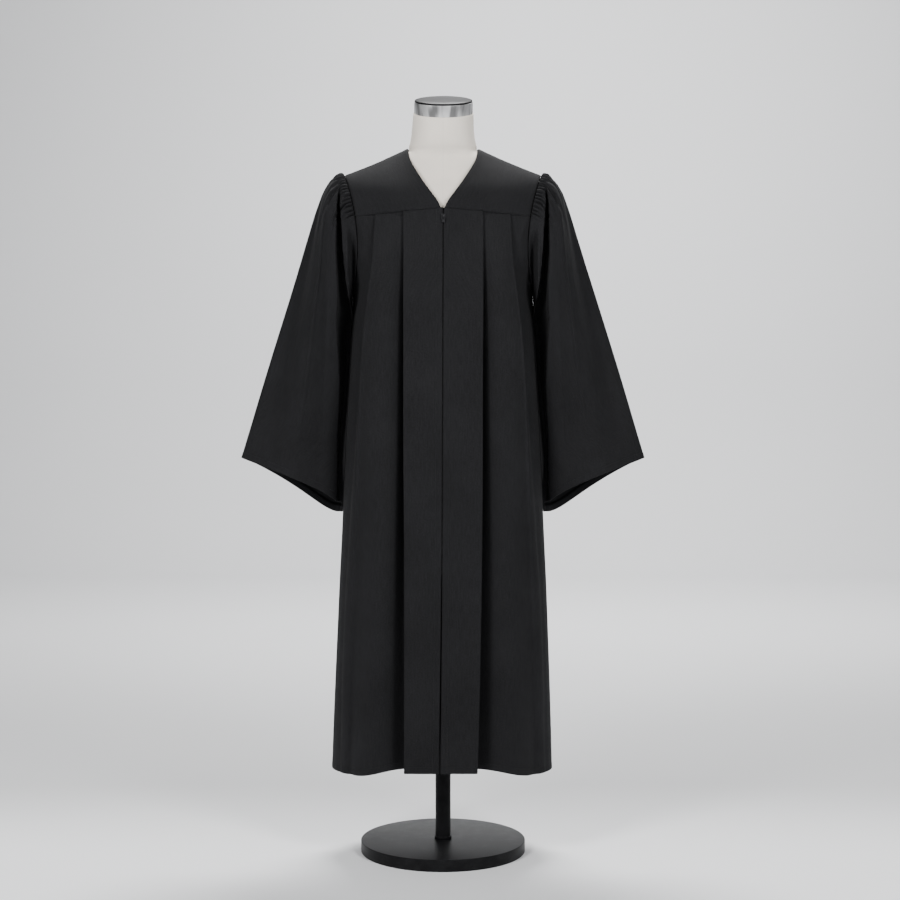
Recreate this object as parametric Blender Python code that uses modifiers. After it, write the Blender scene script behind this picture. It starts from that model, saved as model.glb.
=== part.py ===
"""A graduation gown on a limbless dress form with a pole and a round base.

Metres, +Z up, the gown's front faces -Y, and the origin is the centre of the base's underside.
Each cut piece is a surface worked out from its sections, given its wall by a Solidify modifier.
"""

import math
from collections import namedtuple

import bmesh
import bpy

# Driving dimensions of the gown
WALL = 0.0012
SEAM = 0.0003
SIDE_SEAM_HALF = 0.00028
TOP_SEAM = 0.0006
SEAM_CENTRE_Z = 1.3440
SEAM_DROP = 0.0165
UNDERARM_Z = 1.1650
HEM_MIDDLE_Z = 0.1900
HEM_SIDE_Z = 0.1790
HEM_LIFT_FRONT = 0.0180
HEM_LIFT_BACK = 0.0060
HEM_LIFT_INNER_X = 0.0900
HEM_LIFT_OUTER_X = 0.2000
HEM_LEAN = 0.0025
HEM_LEAN_START = 0.7000
HEM_LEAN_RUN = 0.5000
HEM_LIFT_START = 0.6400
CREASE = 0.0010
OPEN_CREASE = 0.0040
OPEN_PLEAT = 0.0060
OPENING_RUN = 0.5000
BACK_DEPTH = 0.95
FRONT_EDGE = 0.0013
FRONT_EDGE_HEM = 0.0022
FRONT_EDGE_START = 0.6000
FRONT_EDGE_RUN = 0.4000
YOKE_STEPS_ACROSS = 9
YOKE_STEPS_DOWN = 8
BACK_YOKE_STEPS_HALF = 12

# Armhole: a dished ring from the shoulder point to the underarm
SHOULDER_X = 0.2035
SHOULDER_Z = 1.4175
UNDERARM_X = 0.1870
ARMHOLE_DEPTH = 0.0780
ARMHOLE_DISH = 0.0210
NECK_POINT = (0.0735, 0.0060, 1.4735)
CHEST_BOW = 0.0145
BACK_NECK_SHARE = 0.4
BACK_NECK_DEPTH = 0.0580
BACK_NECK_DROP = 0.0060
SHOULDER_SAG = 0.0025

# Sleeve
GATHERS_A_SIDE = 14
COLUMNS_A_GATHER = 4
PLAIN_COLUMNS_A_SIDE = 6
GATHERS_OPEN_AT = 0.4
GATHERS_OPEN_ANGLE = 2.55
FOLDS_FULL_AT = 0.17
CUFF_LIFT_FRONT = 0.0165
CUFF_DROP_BACK = 0.0093

# Dress form and stand
BASE_RADIUS = 0.1730
BASE_THICKNESS = 0.0250
BASE_EDGE = 0.0030
POLE_RADIUS = 0.0160
COLLAR_RADIUS = 0.0180
COLLAR_HEIGHT = 0.0060
FORM_BOTTOM = 0.7000
NECK_TILT = math.radians(15)
NECK_TOP_WIDE = 0.0625
NECK_TOP_DEEP = 0.0600
RING_RADIUS = 0.0608
RING_HEIGHT = 0.0235
RING_CENTRE = (0.0012, 0.0000, 1.5573)
CAP_HEIGHT = 0.0075
FORM_SIDES = 30
STAND_EDGE = 0.0010
BASE_SIDES = 56
POLE_SIDES = 32
RING_SIDES = 48

# Zip
ZIP_TOP = 1.3330
ZIP_BOTTOM = 0.6000
TAPE_WIDTH = 0.0120
TAPE_WALL = 0.0010
TAPE_BEHIND = 0.0018
SLIDER = (0.0076, 0.0016, 0.0110)
SLIDER_Z = 1.3250
ARCH_WIDTH = 0.0022
ARCH_SPAN = 0.0076
ARCH_STRIP = 0.0008
ARCH_STEPS = 10
JOIN_DEPTH = 0.0004
FIN = (0.0012, 0.0014, 0.0080)
PULL_BAR = 0.0008
PULL_WIDTH = 0.0072
PULL_RAIL = 0.0014
PULL_WINDOW = 0.0052
PULL_TAB = 0.0070
PULL_AXIS_AHEAD = 0.0014

# Sections of a front, from the yoke seam to the hem, in millimetres.
# fold is an outward pressed edge, tuck how far the cloth goes back in under it, and valley how deep.
Section = namedtuple(
    "Section",
    "z zip front fold_left fold_right tuck valley"
    " second_x second_y second_tuck second_valley bow side_bow side",
)
SECTIONS = (
    Section(1344, 1.2, -112, 79.5, 81.5, 14, 2, 137, -95, 13, 2, 0, 3.5, 178),
    Section(1300, 1.0, -118, 79.5, 81.5, 13, 5, 139.5, -103, 12, 5, 3, 4, 176),
    Section(1240, 0.8, -124, 79.0, 81.2, 11, 11, 143, -110, 10, 9, 7, 4, 176),
    Section(1165, 0.6, -129, 79.0, 81.0, 9, 18, 152, -114, 8, 13, 11, 5, 187),
    Section(1080, 0.3, -133, 78.5, 80.5, 8, 23, 162, -115, 5, 15, 14, 6, 191),
    Section(950, 0.0, -137, 78.5, 80.0, 7, 27, 171, -113, 1, 17, 17, 7, 197.5),
    Section(800, -0.7, -141, 78.5, 79.5, 6, 30, 178, -107, -5, 17, 20, 7, 204),
    Section(640, -1.5, -145, 78.5, 78.5, 5.5, 33, 185, -98, -9, 16, 22, 7, 210.5),
    Section(430, -3.6, -149, 78.5, 76.0, 5, 36, 193, -86, -11, 15, 24, 6, 221),
    Section(290, -5.2, -152, 78.5, 73.0, 5, 38, 197, -79, -12, 15, 25, 6, 227),
    Section(190, -6.4, -154, 78.5, 70.0, 5, 39, 200, -75, -13, 15, 26, 5, 231),
)

# The neck edge of a front yoke, from the shoulder line to the yoke seam
NeckRow = namedtuple("NeckRow", "down x y z")
NECK_EDGE = (
    NeckRow(0.00, 0.0735, 0.0060, 1.4735),
    NeckRow(0.12, 0.0722, -0.0180, 1.4665),
    NeckRow(0.25, 0.0680, -0.0400, 1.4490),
    NeckRow(0.50, 0.0455, -0.0790, 1.4085),
    NeckRow(0.75, 0.0235, -0.1010, 1.3765),
    NeckRow(1.00, 0.0036, -0.1120, 1.3440),
)

# Loops of a sleeve, from the armhole to the cuff: the outer and the inner edge, and the half depth
Loop = namedtuple("Loop", "along outer_x outer_z inner_x inner_z depth dish gather")
LOOPS = (
    Loop(0.00, 0.2051, 1.4180, 0.1886, 1.1650, 0.0780, 0.0210, 0.0005),
    Loop(0.02, 0.2150, 1.4168, 0.1892, 1.1550, 0.0820, 0.0140, 0.0011),
    Loop(0.05, 0.2290, 1.4075, 0.1899, 1.1420, 0.0860, 0.0080, 0.0014),
    Loop(0.10, 0.2450, 1.3865, 0.1909, 1.1200, 0.0880, 0.0030, 0.0009),
    Loop(0.17, 0.2595, 1.3510, 0.1924, 1.0900, 0.0860, 0.0000, 0.0000),
    Loop(0.27, 0.2780, 1.2930, 0.1946, 1.0460, 0.0810, 0.0000, 0.0000),
    Loop(0.40, 0.3040, 1.2090, 0.1978, 0.9890, 0.0750, 0.0000, 0.0000),
    Loop(0.55, 0.3340, 1.1130, 0.2015, 0.9230, 0.0690, 0.0000, 0.0000),
    Loop(0.70, 0.3640, 1.0170, 0.2052, 0.8570, 0.0630, 0.0000, 0.0000),
    Loop(0.85, 0.3935, 0.9220, 0.2085, 0.7910, 0.0580, 0.0000, 0.0000),
    Loop(1.00, 0.4215, 0.8310, 0.2113, 0.7260, 0.0540, 0.0000, 0.0000),
)
FINE_LOOPS = 4

# Folds of a sleeve: the angle from the outer edge, the rise and the half width, each at the armhole,
# halfway and at the cuff. A fold below zero is a valley. Angles past pi are on the back.
Fold = namedtuple(
    "Fold",
    "angle_top angle_mid angle_cuff rise_top rise_mid rise_cuff wide_top wide_mid wide_cuff",
)
FOLDS = (
    Fold(0.70, 1.30, 1.42, 0.003, 0.010, 0.006, 0.25, 0.42, 0.45),
    Fold(0.95, 2.20, 2.62, -0.004, -0.034, -0.012, 0.14, 0.26, 0.30),
    Fold(0.40, 0.62, 0.75, -0.003, -0.003, -0.002, 0.16, 0.28, 0.30),
    Fold(1.45, 2.66, 2.92, 0.003, 0.006, 0.003, 0.14, 0.20, 0.20),
    Fold(5.50, 4.95, 4.80, 0.003, 0.009, 0.005, 0.25, 0.40, 0.45),
    Fold(5.20, 4.20, 3.85, -0.004, -0.026, -0.010, 0.16, 0.28, 0.30),
    Fold(5.86, 5.60, 5.55, -0.003, -0.005, -0.003, 0.16, 0.28, 0.30),
)

# Sections of the dress form: half width, half depths in front and behind, the middle's place, and
# the power of its outline, 2 for an ellipse
FormRow = namedtuple("FormRow", "z wide front back middle_y power")
FORM_ROWS = (
    FormRow(0.700, 0.1460, 0.0880, 0.0900, 0.0000, 2.3),
    FormRow(0.720, 0.1580, 0.0960, 0.1000, 0.0000, 2.3),
    FormRow(0.790, 0.1680, 0.0990, 0.1080, 0.0000, 2.3),
    FormRow(0.860, 0.1650, 0.0980, 0.1080, 0.0000, 2.3),
    FormRow(1.000, 0.1340, 0.0880, 0.0880, 0.0000, 2.2),
    FormRow(1.120, 0.1500, 0.0970, 0.0920, 0.0000, 2.2),
    FormRow(1.220, 0.1630, 0.1040, 0.0960, 0.0000, 2.3),
    FormRow(1.300, 0.1680, 0.1020, 0.0960, 0.0000, 2.3),
    FormRow(1.340, 0.1720, 0.0950, 0.0930, 0.0000, 2.3),
    FormRow(1.370, 0.1840, 0.0820, 0.0850, 0.0000, 2.3),
    FormRow(1.392, 0.1950, 0.0660, 0.0720, 0.0000, 2.2),
    FormRow(1.404, 0.1975, 0.0550, 0.0600, 0.0000, 2.1),
    FormRow(1.412, 0.1960, 0.0490, 0.0540, 0.0000, 2.0),
    FormRow(1.420, 0.1900, 0.0460, 0.0500, 0.0010, 2.0),
    FormRow(1.435, 0.1530, 0.0450, 0.0480, 0.0030, 2.0),
    FormRow(1.450, 0.1130, 0.0470, 0.0480, 0.0060, 2.0),
    FormRow(1.459, 0.0870, 0.0490, 0.0480, 0.0080, 2.0),
    FormRow(1.466, 0.0728, 0.0520, 0.0490, 0.0090, 2.0),
    FormRow(1.477, 0.0704, 0.0565, 0.0500, 0.0090, 2.0),
    FormRow(1.494, 0.0665, 0.0585, 0.0510, 0.0080, 2.0),
    FormRow(1.515, 0.0640, 0.0590, 0.0540, 0.0060, 2.0),
)

# Colours: linear base colour, roughness, metallic
CLOTH_LOOK = ((0.018, 0.018, 0.020), 0.85, 0.0)
FORM_LOOK = ((0.83, 0.78, 0.70), 0.90, 0.0)
CHROME_LOOK = ((0.75, 0.75, 0.76), 0.18, 1.0)
BLACK_METAL_LOOK = ((0.020, 0.020, 0.022), 0.40, 0.6)
ZIP_LOOK = ((0.025, 0.025, 0.027), 0.55, 0.0)


def mix(a, b, t):
    return a + (b - a) * t


def between(rows, key, at):
    """The row of a table at a value of its first column, straight between its neighbours."""
    values = [getattr(row, key) for row in rows]
    down = values[0] > values[-1]
    for low, high in zip(rows, rows[1:]):
        start, end = getattr(low, key), getattr(high, key)
        inside = end <= at <= start if down else start <= at <= end
        if inside:
            t = (at - start) / (end - start)
            return type(low)(*(mix(a, b, t) for a, b in zip(low, high)))
    return rows[0] if (at > values[0]) == down else rows[-1]


def three_part(top, middle, end, t):
    """A smooth run through three values at t = 0, 0.5 and 1."""
    return top * (1 - t) * (1 - 2 * t) + middle * 4 * t * (1 - t) + end * t * (2 * t - 1)


def bell(x):
    return (1 - x * x) ** 2 if abs(x) < 1 else 0.0


def material(name, look):
    colour, roughness, metallic = look
    made = bpy.data.materials.new(name)
    made.use_nodes = True
    shader = made.node_tree.nodes["Principled BSDF"]
    shader.inputs["Base Color"].default_value = (*colour, 1)
    shader.inputs["Roughness"].default_value = roughness
    shader.inputs["Metallic"].default_value = metallic
    made.diffuse_color = (*colour, 1)
    return made


def add_object(name, mesh, look, parts):
    made = bpy.data.objects.new(name, mesh)
    parts.objects.link(made)
    mesh.materials.append(material(name, look))
    mesh.shade_smooth()
    return made


def band_faces(upper, lower):
    """The faces between two rows of corners, where the lower row may have half as many steps."""
    if len(upper) == len(lower):
        pairs = zip(upper, upper[1:], lower[1:], lower)
        return [tuple(face) for face in pairs]
    faces = []
    for step in range(len(lower) - 1):
        first, middle, last = upper[2 * step : 2 * step + 3]
        faces.append((first, middle, lower[step]))
        faces.append((middle, lower[step + 1], lower[step]))
        faces.append((middle, last, lower[step + 1]))
    return faces


def surface_mesh(name, rows, closed=False):
    """A mesh over rows of points. A closed surface joins each row's end to its start."""
    shape = bmesh.new()
    corners = []
    for row in rows:
        made = [shape.verts.new(point) for point in row]
        corners.append(made + made[:1] if closed else made)
    for upper, lower in zip(corners, corners[1:]):
        for face in band_faces(upper, lower):
            shape.faces.new(face)
    mesh = bpy.data.meshes.new(name)
    shape.to_mesh(mesh)
    shape.free()
    return mesh


def add_cloth(name, rows, parts, closed=False, wall=WALL, look=CLOTH_LOOK):
    made = add_object(name, surface_mesh(name, rows, closed), look, parts)
    shell = made.modifiers.new("Wall", "SOLIDIFY")
    shell.thickness = wall
    shell.offset = 0
    shell.use_even_offset = True
    shell.use_quality_normals = True
    return made


def mirrored(rows):
    return [[(-x, y, z) for x, y, z in row] for row in rows]


def armhole(angle, back=False):
    """A point of the armhole ring. Angle 0 is the shoulder point and pi the underarm."""
    share = (1 + math.cos(angle)) / 2
    x = mix(UNDERARM_X, SHOULDER_X, share) - ARMHOLE_DISH * math.sin(angle) ** 2
    y = ARMHOLE_DEPTH * math.sin(angle)
    return x, y if back else -y, mix(UNDERARM_Z, SHOULDER_Z, share)


def armhole_angle(z):
    share = (z - UNDERARM_Z) / (SHOULDER_Z - UNDERARM_Z)
    return math.acos(max(-1.0, min(1.0, 2 * share - 1)))


SEAM_ANGLE = armhole_angle(SEAM_CENTRE_Z - SEAM_DROP)


def shoulder_sag(share):
    """How far the shoulder line dips below straight, at a share of the way from neck to armhole."""
    return 4 * share * (1 - share) * SHOULDER_SAG


def front_yoke_point(across, down):
    """A point of a front yoke: across runs from the neck edge to the armhole, down from the shoulder."""
    inner = between(NECK_EDGE, "down", down)
    outer = armhole(down * SEAM_ANGLE)
    bow = 4 * across * (1 - across) * CHEST_BOW * math.sin(down * math.pi / 2)
    x = mix(inner.x, outer[0], across)
    y = mix(inner.y, outer[1], across) - bow
    sag = shoulder_sag(across) * (1 - down) ** 2
    return x, y - SIDE_SEAM_HALF * (1 - down) ** 4, mix(inner.z, outer[2], across) - sag


def back_top(across):
    """The top edge of half the back yoke: round the back of the neck, then along the shoulder."""
    x, y, z = NECK_POINT
    if across < BACK_NECK_SHARE:
        turn = across / BACK_NECK_SHARE * math.pi / 2
        y += BACK_NECK_DEPTH * math.cos(turn)
        return x * math.sin(turn), y, z - BACK_NECK_DROP * math.cos(turn)
    share = (across - BACK_NECK_SHARE) / (1 - BACK_NECK_SHARE)
    z = mix(z, SHOULDER_Z, share) - shoulder_sag(share)
    return mix(x, SHOULDER_X, share), mix(y, 0, share), z


def back_yoke_point(across, down):
    """A point of half the back yoke: across runs from the centre back to the armhole."""
    top = back_top(across)
    end = armhole(SEAM_ANGLE, back=True)
    seam_x = end[0] * across
    seam_y = mix(-SECTIONS[0].front / 1000 * BACK_DEPTH, end[1], across ** 2.2)
    seam_z = SEAM_CENTRE_Z - SEAM_DROP * across
    ring = armhole(down * SEAM_ANGLE, back=True)
    fall = (SHOULDER_Z - ring[2]) / (SHOULDER_Z - end[2])
    out = ring[1] / end[1]
    narrow = (SHOULDER_X - ring[0]) / (SHOULDER_X - end[0])
    narrow = mix(down, narrow, across ** 4)
    y = mix(top[1], seam_y, out) + SIDE_SEAM_HALF * (1 - down) ** 4
    return mix(top[0], seam_x, narrow), y, mix(top[2], seam_z, fall)


def fold_corner(before, tip, after, gap):
    """Three points round a fold's tip. A closed fold turns back on itself two gaps away."""
    ways = []
    for other in (before, after):
        run = (other[0] - tip[0], other[1] - tip[1])
        length = math.hypot(*run)
        ways.append((run[0] / length, run[1] / length))
    middle = (ways[0][0] + ways[1][0], ways[0][1] + ways[1][1])
    size = math.hypot(*middle)
    middle = (middle[0] / size, middle[1] / size)
    points = []
    for way in ways:
        along = way[0] * middle[0] + way[1] * middle[1]
        aside = way[0] * -middle[1] + way[1] * middle[0]
        if along > math.cos(math.pi / 4):
            sign = math.copysign(1, aside)
            reach = (middle[0] - sign * middle[1], middle[1] + sign * middle[0])
        else:
            reach = (way[0] * math.sqrt(2), way[1] * math.sqrt(2))
        points.append((tip[0] + reach[0] * gap, tip[1] + reach[1] * gap))
    rounded = max(0.0, 1 - size / 2) * 0.9
    chord = ((points[0][0] + points[1][0]) / 2, (points[0][1] + points[1][1]) / 2)
    crown = (mix(tip[0], chord[0], rounded), mix(tip[1], chord[1], rounded))
    return points[0], crown, points[1]


def run_between(start, end, steps, bow=0.0):
    """The points inside a stretch of cloth, bowed out by a given height at its middle."""
    length = math.hypot(end[0] - start[0], end[1] - start[1])
    out = ((end[1] - start[1]) / length, -(end[0] - start[0]) / length)
    points = []
    for step in range(1, steps):
        t = step / steps
        rise = 4 * t * (1 - t) * bow
        x = mix(start[0], end[0], t) + out[0] * rise
        points.append((x, mix(start[1], end[1], t) + out[1] * rise))
    return points


def smooth(low, high, at):
    """A share that rises smoothly from 0 at low to 1 at high."""
    t = max(0.0, min(1.0, (at - low) / (high - low)))
    return t * t * (3 - 2 * t)


def front_section(row, left, edge):
    """The front half of a section, from the centre edge to the side, as x and y with the front at -y."""
    front = row.front / 1000
    fold_x = (row.fold_left if left else row.fold_right) / 1000
    height = row.z / 1000
    lean = HEM_LEAN * max(0.0, (HEM_LEAN_START - height) / HEM_LEAN_RUN)
    open_share = min(1, (SECTIONS[0].z / 1000 - height) / OPENING_RUN)
    gap = CREASE
    soft = mix(CREASE, OPEN_CREASE, open_share)
    first = (fold_x, front + gap)
    under = (fold_x - row.tuck / 1000, front + gap + row.valley / 1000)
    second = (row.second_x / 1000, row.second_y / 1000 + gap)
    second_under = (second[0] - row.second_tuck / 1000, second[1] + row.second_valley / 1000)
    if height > UNDERARM_Z:
        side = armhole(armhole_angle(height - SEAM_DROP * seam_share(height)))[:2]
    else:
        side = (row.side / 1000 + (lean if left else -lean), -SIDE_SEAM_HALF)
    start = (edge, front)
    corners = (
        fold_corner(start, first, under, gap),
        fold_corner(first, under, second, soft),
        fold_corner(under, second, second_under, mix(gap, OPEN_PLEAT, open_share ** 2)),
        fold_corner(second, second_under, side, soft),
    )
    points = [start]
    points += run_between(start, corners[0][0], 4) + list(corners[0])
    points += run_between(corners[0][-1], corners[1][0], 2) + list(corners[1])
    points += run_between(corners[1][-1], corners[2][0], 6, row.bow / 1000) + list(corners[2])
    points += run_between(corners[2][-1], corners[3][0], 2) + list(corners[3])
    points += run_between(corners[3][-1], side, 5, row.side_bow / 1000) + [side]
    return points


def seam_share(z):
    """How much of the yoke seam's slope is left at a height."""
    return max(0.0, (z - UNDERARM_Z) / (SEAM_CENTRE_Z - UNDERARM_Z))


def at_height(points, z, hem_lift):
    """Gives a section its heights: sloped along the yoke seam, and lifted in the middle of the hem."""
    reach = armhole(SEAM_ANGLE)[0]
    drop = SEAM_DROP * seam_share(z)
    low = max(0.0, (HEM_LIFT_START - z) / (HEM_LIFT_START - HEM_MIDDLE_Z))
    placed = []
    for x, y in points:
        hem = HEM_SIDE_Z + hem_lift * (1 - smooth(HEM_LIFT_INNER_X, HEM_LIFT_OUTER_X, abs(x)))
        height = z - drop * min(1, abs(x) / reach) + (hem - HEM_MIDDLE_Z) * low ** 2
        placed.append((x, y, height - TOP_SEAM * seam_share(z) ** 8))
    return placed


def front_rows(left):
    rows = []
    for row in SECTIONS:
        low = max(0.0, (FRONT_EDGE_START - row.z / 1000) / FRONT_EDGE_RUN)
        edge = mix(FRONT_EDGE, FRONT_EDGE_HEM, low)
        edge += -row.zip / 1000 if left else row.zip / 1000
        rows.append(at_height(front_section(row, left, edge), row.z / 1000, HEM_LIFT_FRONT))
    return mirrored(rows) if left else rows


def back_half(row, left):
    z = row.z / 1000
    half = front_section(row, left, 0.0)
    half = [(x, back_y(x, y, row) if z > UNDERARM_Z else -y * BACK_DEPTH) for x, y in half]
    return half[:-1] + [(half[-1][0], max(half[-1][1], SIDE_SEAM_HALF))]


def back_rows():
    rows = []
    for row in SECTIONS:
        whole = [(-x, y) for x, y in reversed(back_half(row, True)[1:])] + back_half(row, False)
        rows.append(at_height(whole, row.z / 1000, HEM_LIFT_BACK))
    return rows


def back_y(x, y, row):
    """The back's depth, which meets the armhole ring at the full depth of the front."""
    side = armhole(armhole_angle(row.z / 1000 - SEAM_DROP * seam_share(row.z / 1000)))[0]
    return -y * mix(BACK_DEPTH, 1, min(1, max(0, x) / side) ** 6)


def front_yoke_rows():
    rows = []
    for step in range(YOKE_STEPS_DOWN + 1):
        down = step / YOKE_STEPS_DOWN
        rows.append([front_yoke_point(k / YOKE_STEPS_ACROSS, down) for k in range(YOKE_STEPS_ACROSS + 1)])
    return rows


def back_yoke_rows():
    rows = []
    steps = BACK_YOKE_STEPS_HALF
    for down in range(YOKE_STEPS_DOWN + 1):
        half = [back_yoke_point(k / steps, down / YOKE_STEPS_DOWN) for k in range(steps + 1)]
        rows.append([(-x, y, z) for x, y, z in reversed(half[1:])] + half)
    return rows


def sleeve_columns(count_a_gather):
    """Places round the sleeve: gathers from the shoulder to the yoke seam on each side, then plain."""
    gathered = GATHERS_A_SIDE * count_a_gather
    plain = PLAIN_COLUMNS_A_SIDE * count_a_gather // 2
    front = [(k / gathered, "gather") for k in range(gathered)]
    front += [(k / plain, "plain") for k in range(plain)]
    return front


def sleeve_angle(share, kind, spread):
    """The angle of a column, which spreads out down the sleeve as its gathers open."""
    last = mix(SEAM_ANGLE, GATHERS_OPEN_ANGLE, spread)
    return share * last if kind == "gather" else mix(last, math.pi, share)


def fold_rise(angle, along):
    total = 0.0
    for fold in FOLDS:
        middle = three_part(fold.angle_top, fold.angle_mid, fold.angle_cuff, along)
        rise = three_part(fold.rise_top, fold.rise_mid, fold.rise_cuff, along)
        wide = three_part(fold.wide_top, fold.wide_mid, fold.wide_cuff, along)
        total += rise * bell((angle - middle) / (2 * wide))
    return total


def sleeve_point(loop, angle, ripple):
    """A point of a sleeve's loop. Angle 0 is the outer edge, and the front has angles below pi."""
    across = (loop.outer_x - loop.inner_x, loop.outer_z - loop.inner_z)
    half = math.hypot(*across) / 2
    unit = (across[0] / (2 * half), across[1] / (2 * half))
    side, front = math.cos(angle) * half, math.sin(angle) * loop.depth
    out = (math.cos(angle) / half, math.sin(angle) / loop.depth)
    size = math.hypot(*out)
    started = min(1, loop.along / FOLDS_FULL_AT)
    rise = fold_rise(angle, loop.along) * started + ripple * loop.gather
    side += out[0] / size * rise
    front += out[1] / size * rise
    x = (loop.outer_x + loop.inner_x) / 2 + unit[0] * side - loop.dish * math.sin(angle) ** 2
    z = (loop.outer_z + loop.inner_z) / 2 + unit[1] * side
    if angle < math.pi:
        lift = CUFF_LIFT_FRONT * math.sin(angle) * (1 - 0.6 * math.cos(angle))
    else:
        lift = CUFF_DROP_BACK * math.sin(angle) * (1 - math.cos(angle)) ** 2
    return x, -front, z + lift * loop.along ** 2


def sleeve_rows():
    rows = []
    for index, loop in enumerate(LOOPS):
        each = COLUMNS_A_GATHER if index < FINE_LOOPS else COLUMNS_A_GATHER // 2
        spread = smooth(0, GATHERS_OPEN_AT, loop.along)
        front = []
        for share, kind in sleeve_columns(each):
            wave = math.cos(share * GATHERS_A_SIDE * 2 * math.pi)
            front.append((sleeve_angle(share, kind, spread), -wave if kind == "gather" else -bell(share * 3)))
        back = [(2 * math.pi - angle, ripple) for angle, ripple in reversed(front[1:])]
        loop_columns = front + [(math.pi, 0)] + back
        rows.append([sleeve_point(loop, angle, ripple) for angle, ripple in loop_columns])
    return rows


def form_section(row):
    points = []
    for side in range(FORM_SIDES):
        turn = 2 * math.pi * side / FORM_SIDES
        c, s = math.cos(turn), math.sin(turn)
        depth = row.front if s < 0 else row.back
        x = math.copysign(abs(c) ** (2 / row.power), c) * row.wide
        y = math.copysign(abs(s) ** (2 / row.power), s) * depth
        points.append((x, row.middle_y + y, row.z))
    return points


def add_form(parts):
    """The torso and neck: a loft of flattened sections, closed by the neck's tilted top."""
    rows = [form_section(row) for row in FORM_ROWS]
    top = RING_HEIGHT / 2 + SEAM
    centre_y = RING_CENTRE[1] + math.sin(NECK_TILT) * top
    centre_z = RING_CENTRE[2] - math.cos(NECK_TILT) * top
    neck = []
    for side in range(FORM_SIDES):
        turn = 2 * math.pi * side / FORM_SIDES
        x = math.cos(turn) * NECK_TOP_WIDE + RING_CENTRE[0]
        y = math.sin(turn) * NECK_TOP_DEEP
        neck.append((x, centre_y + y * math.cos(NECK_TILT), centre_z + y * math.sin(NECK_TILT)))
    rows.append(neck)
    mesh = surface_mesh("form_torso", list(reversed(rows)), closed=True)
    shape = bmesh.new()
    shape.from_mesh(mesh)
    bmesh.ops.holes_fill(shape, edges=shape.edges, sides=0)
    bmesh.ops.recalc_face_normals(shape, faces=shape.faces)
    shape.to_mesh(mesh)
    shape.free()
    return add_object("form_torso", mesh, FORM_LOOK, parts)


def turned(name, profile, look, parts, sides=RING_SIDES):
    """A body turned about its own Z axis from a profile of radius and height, top to bottom."""
    mesh = bpy.data.meshes.new(name)
    edges = [(k, k + 1) for k in range(len(profile) - 1)]
    mesh.from_pydata([(radius, 0, height) for radius, height in profile], edges, [])
    made = add_object(name, mesh, look, parts)
    screw = made.modifiers.new("Turn", "SCREW")
    screw.steps = sides
    screw.render_steps = sides
    screw.use_merge_vertices = True
    screw.merge_threshold = 0.00001
    screw.use_smooth_shade = True
    return made


def add_stand(parts):
    edge = BASE_EDGE
    radius, height = BASE_RADIUS, BASE_THICKNESS
    turned(
        "stand_base",
        [(0, height), (radius - edge, height), (radius - edge * 0.3, height - edge * 0.3)]
        + [(radius, height - edge), (radius, edge * 0.5), (radius - edge * 0.5, 0), (0, 0)],
        BLACK_METAL_LOOK,
        parts,
        sides=BASE_SIDES,
    )
    foot = BASE_THICKNESS + SEAM
    collar_top = foot + COLLAR_HEIGHT
    top = FORM_BOTTOM - SEAM
    turned(
        "stand_pole",
        [(0, top), (POLE_RADIUS, top), (POLE_RADIUS, collar_top), (COLLAR_RADIUS, collar_top)]
        + [(COLLAR_RADIUS, foot), (0, foot)],
        BLACK_METAL_LOOK,
        parts,
        sides=POLE_SIDES,
    )


def add_neck_fittings(parts):
    half = RING_HEIGHT / 2
    r = RING_RADIUS
    flat = r - STAND_EDGE
    side = half - STAND_EDGE
    ring = turned(
        "form_neck_ring",
        [(0, half), (flat, half), (r, side), (r, -side), (flat, -half), (0, -half)],
        CHROME_LOOK,
        parts,
    )
    cap = turned(
        "form_neck_cap",
        [(0, CAP_HEIGHT), (r * 0.5, CAP_HEIGHT * 0.93), (r * 0.85, CAP_HEIGHT * 0.72)]
        + [(flat, CAP_HEIGHT * 0.35), (flat, 0), (0, 0)],
        BLACK_METAL_LOOK,
        parts,
    )
    ring.location = RING_CENTRE
    ring.rotation_euler = (NECK_TILT, 0, 0)
    lift = half + SEAM
    cap.location = (
        RING_CENTRE[0],
        RING_CENTRE[1] - math.sin(NECK_TILT) * lift,
        RING_CENTRE[2] + math.cos(NECK_TILT) * lift,
    )
    cap.rotation_euler = (NECK_TILT, 0, 0)


def tape_rows(left):
    """A zip tape behind a front's edge, down to the zip's end."""
    heights = [row.z / 1000 for row in SECTIONS if ZIP_BOTTOM < row.z / 1000 < ZIP_TOP]
    rows = []
    for z in [ZIP_TOP] + heights + [ZIP_BOTTOM]:
        row = between(SECTIONS, "z", z * 1000)
        y = row.front / 1000 + TAPE_BEHIND
        inner = -row.zip / 1000 if left else row.zip / 1000
        rows.append([(inner + SEAM / 2 + share * TAPE_WIDTH, y, z) for share in (0, 0.5, 1)])
    return mirrored(rows) if left else rows


def box_mesh(name, size, centre):
    mesh = bpy.data.meshes.new(name)
    shape = bmesh.new()
    bmesh.ops.create_cube(shape, size=1)
    bmesh.ops.scale(shape, vec=size, verts=shape.verts)
    bmesh.ops.translate(shape, vec=centre, verts=shape.verts)
    shape.to_mesh(mesh)
    shape.free()
    return mesh


def helper(mesh, cutters):
    made = bpy.data.objects.new(mesh.name, mesh)
    cutters.objects.link(made)
    made.hide_render = True
    made.display_type = "WIRE"
    return made


def join_into(target, others):
    """Unites helper solids into the target by Boolean modifiers."""
    for other in others:
        union = target.modifiers.new("Join " + other.name, "BOOLEAN")
        union.operation = "UNION"
        union.solver = "EXACT"
        union.object = other


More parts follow.
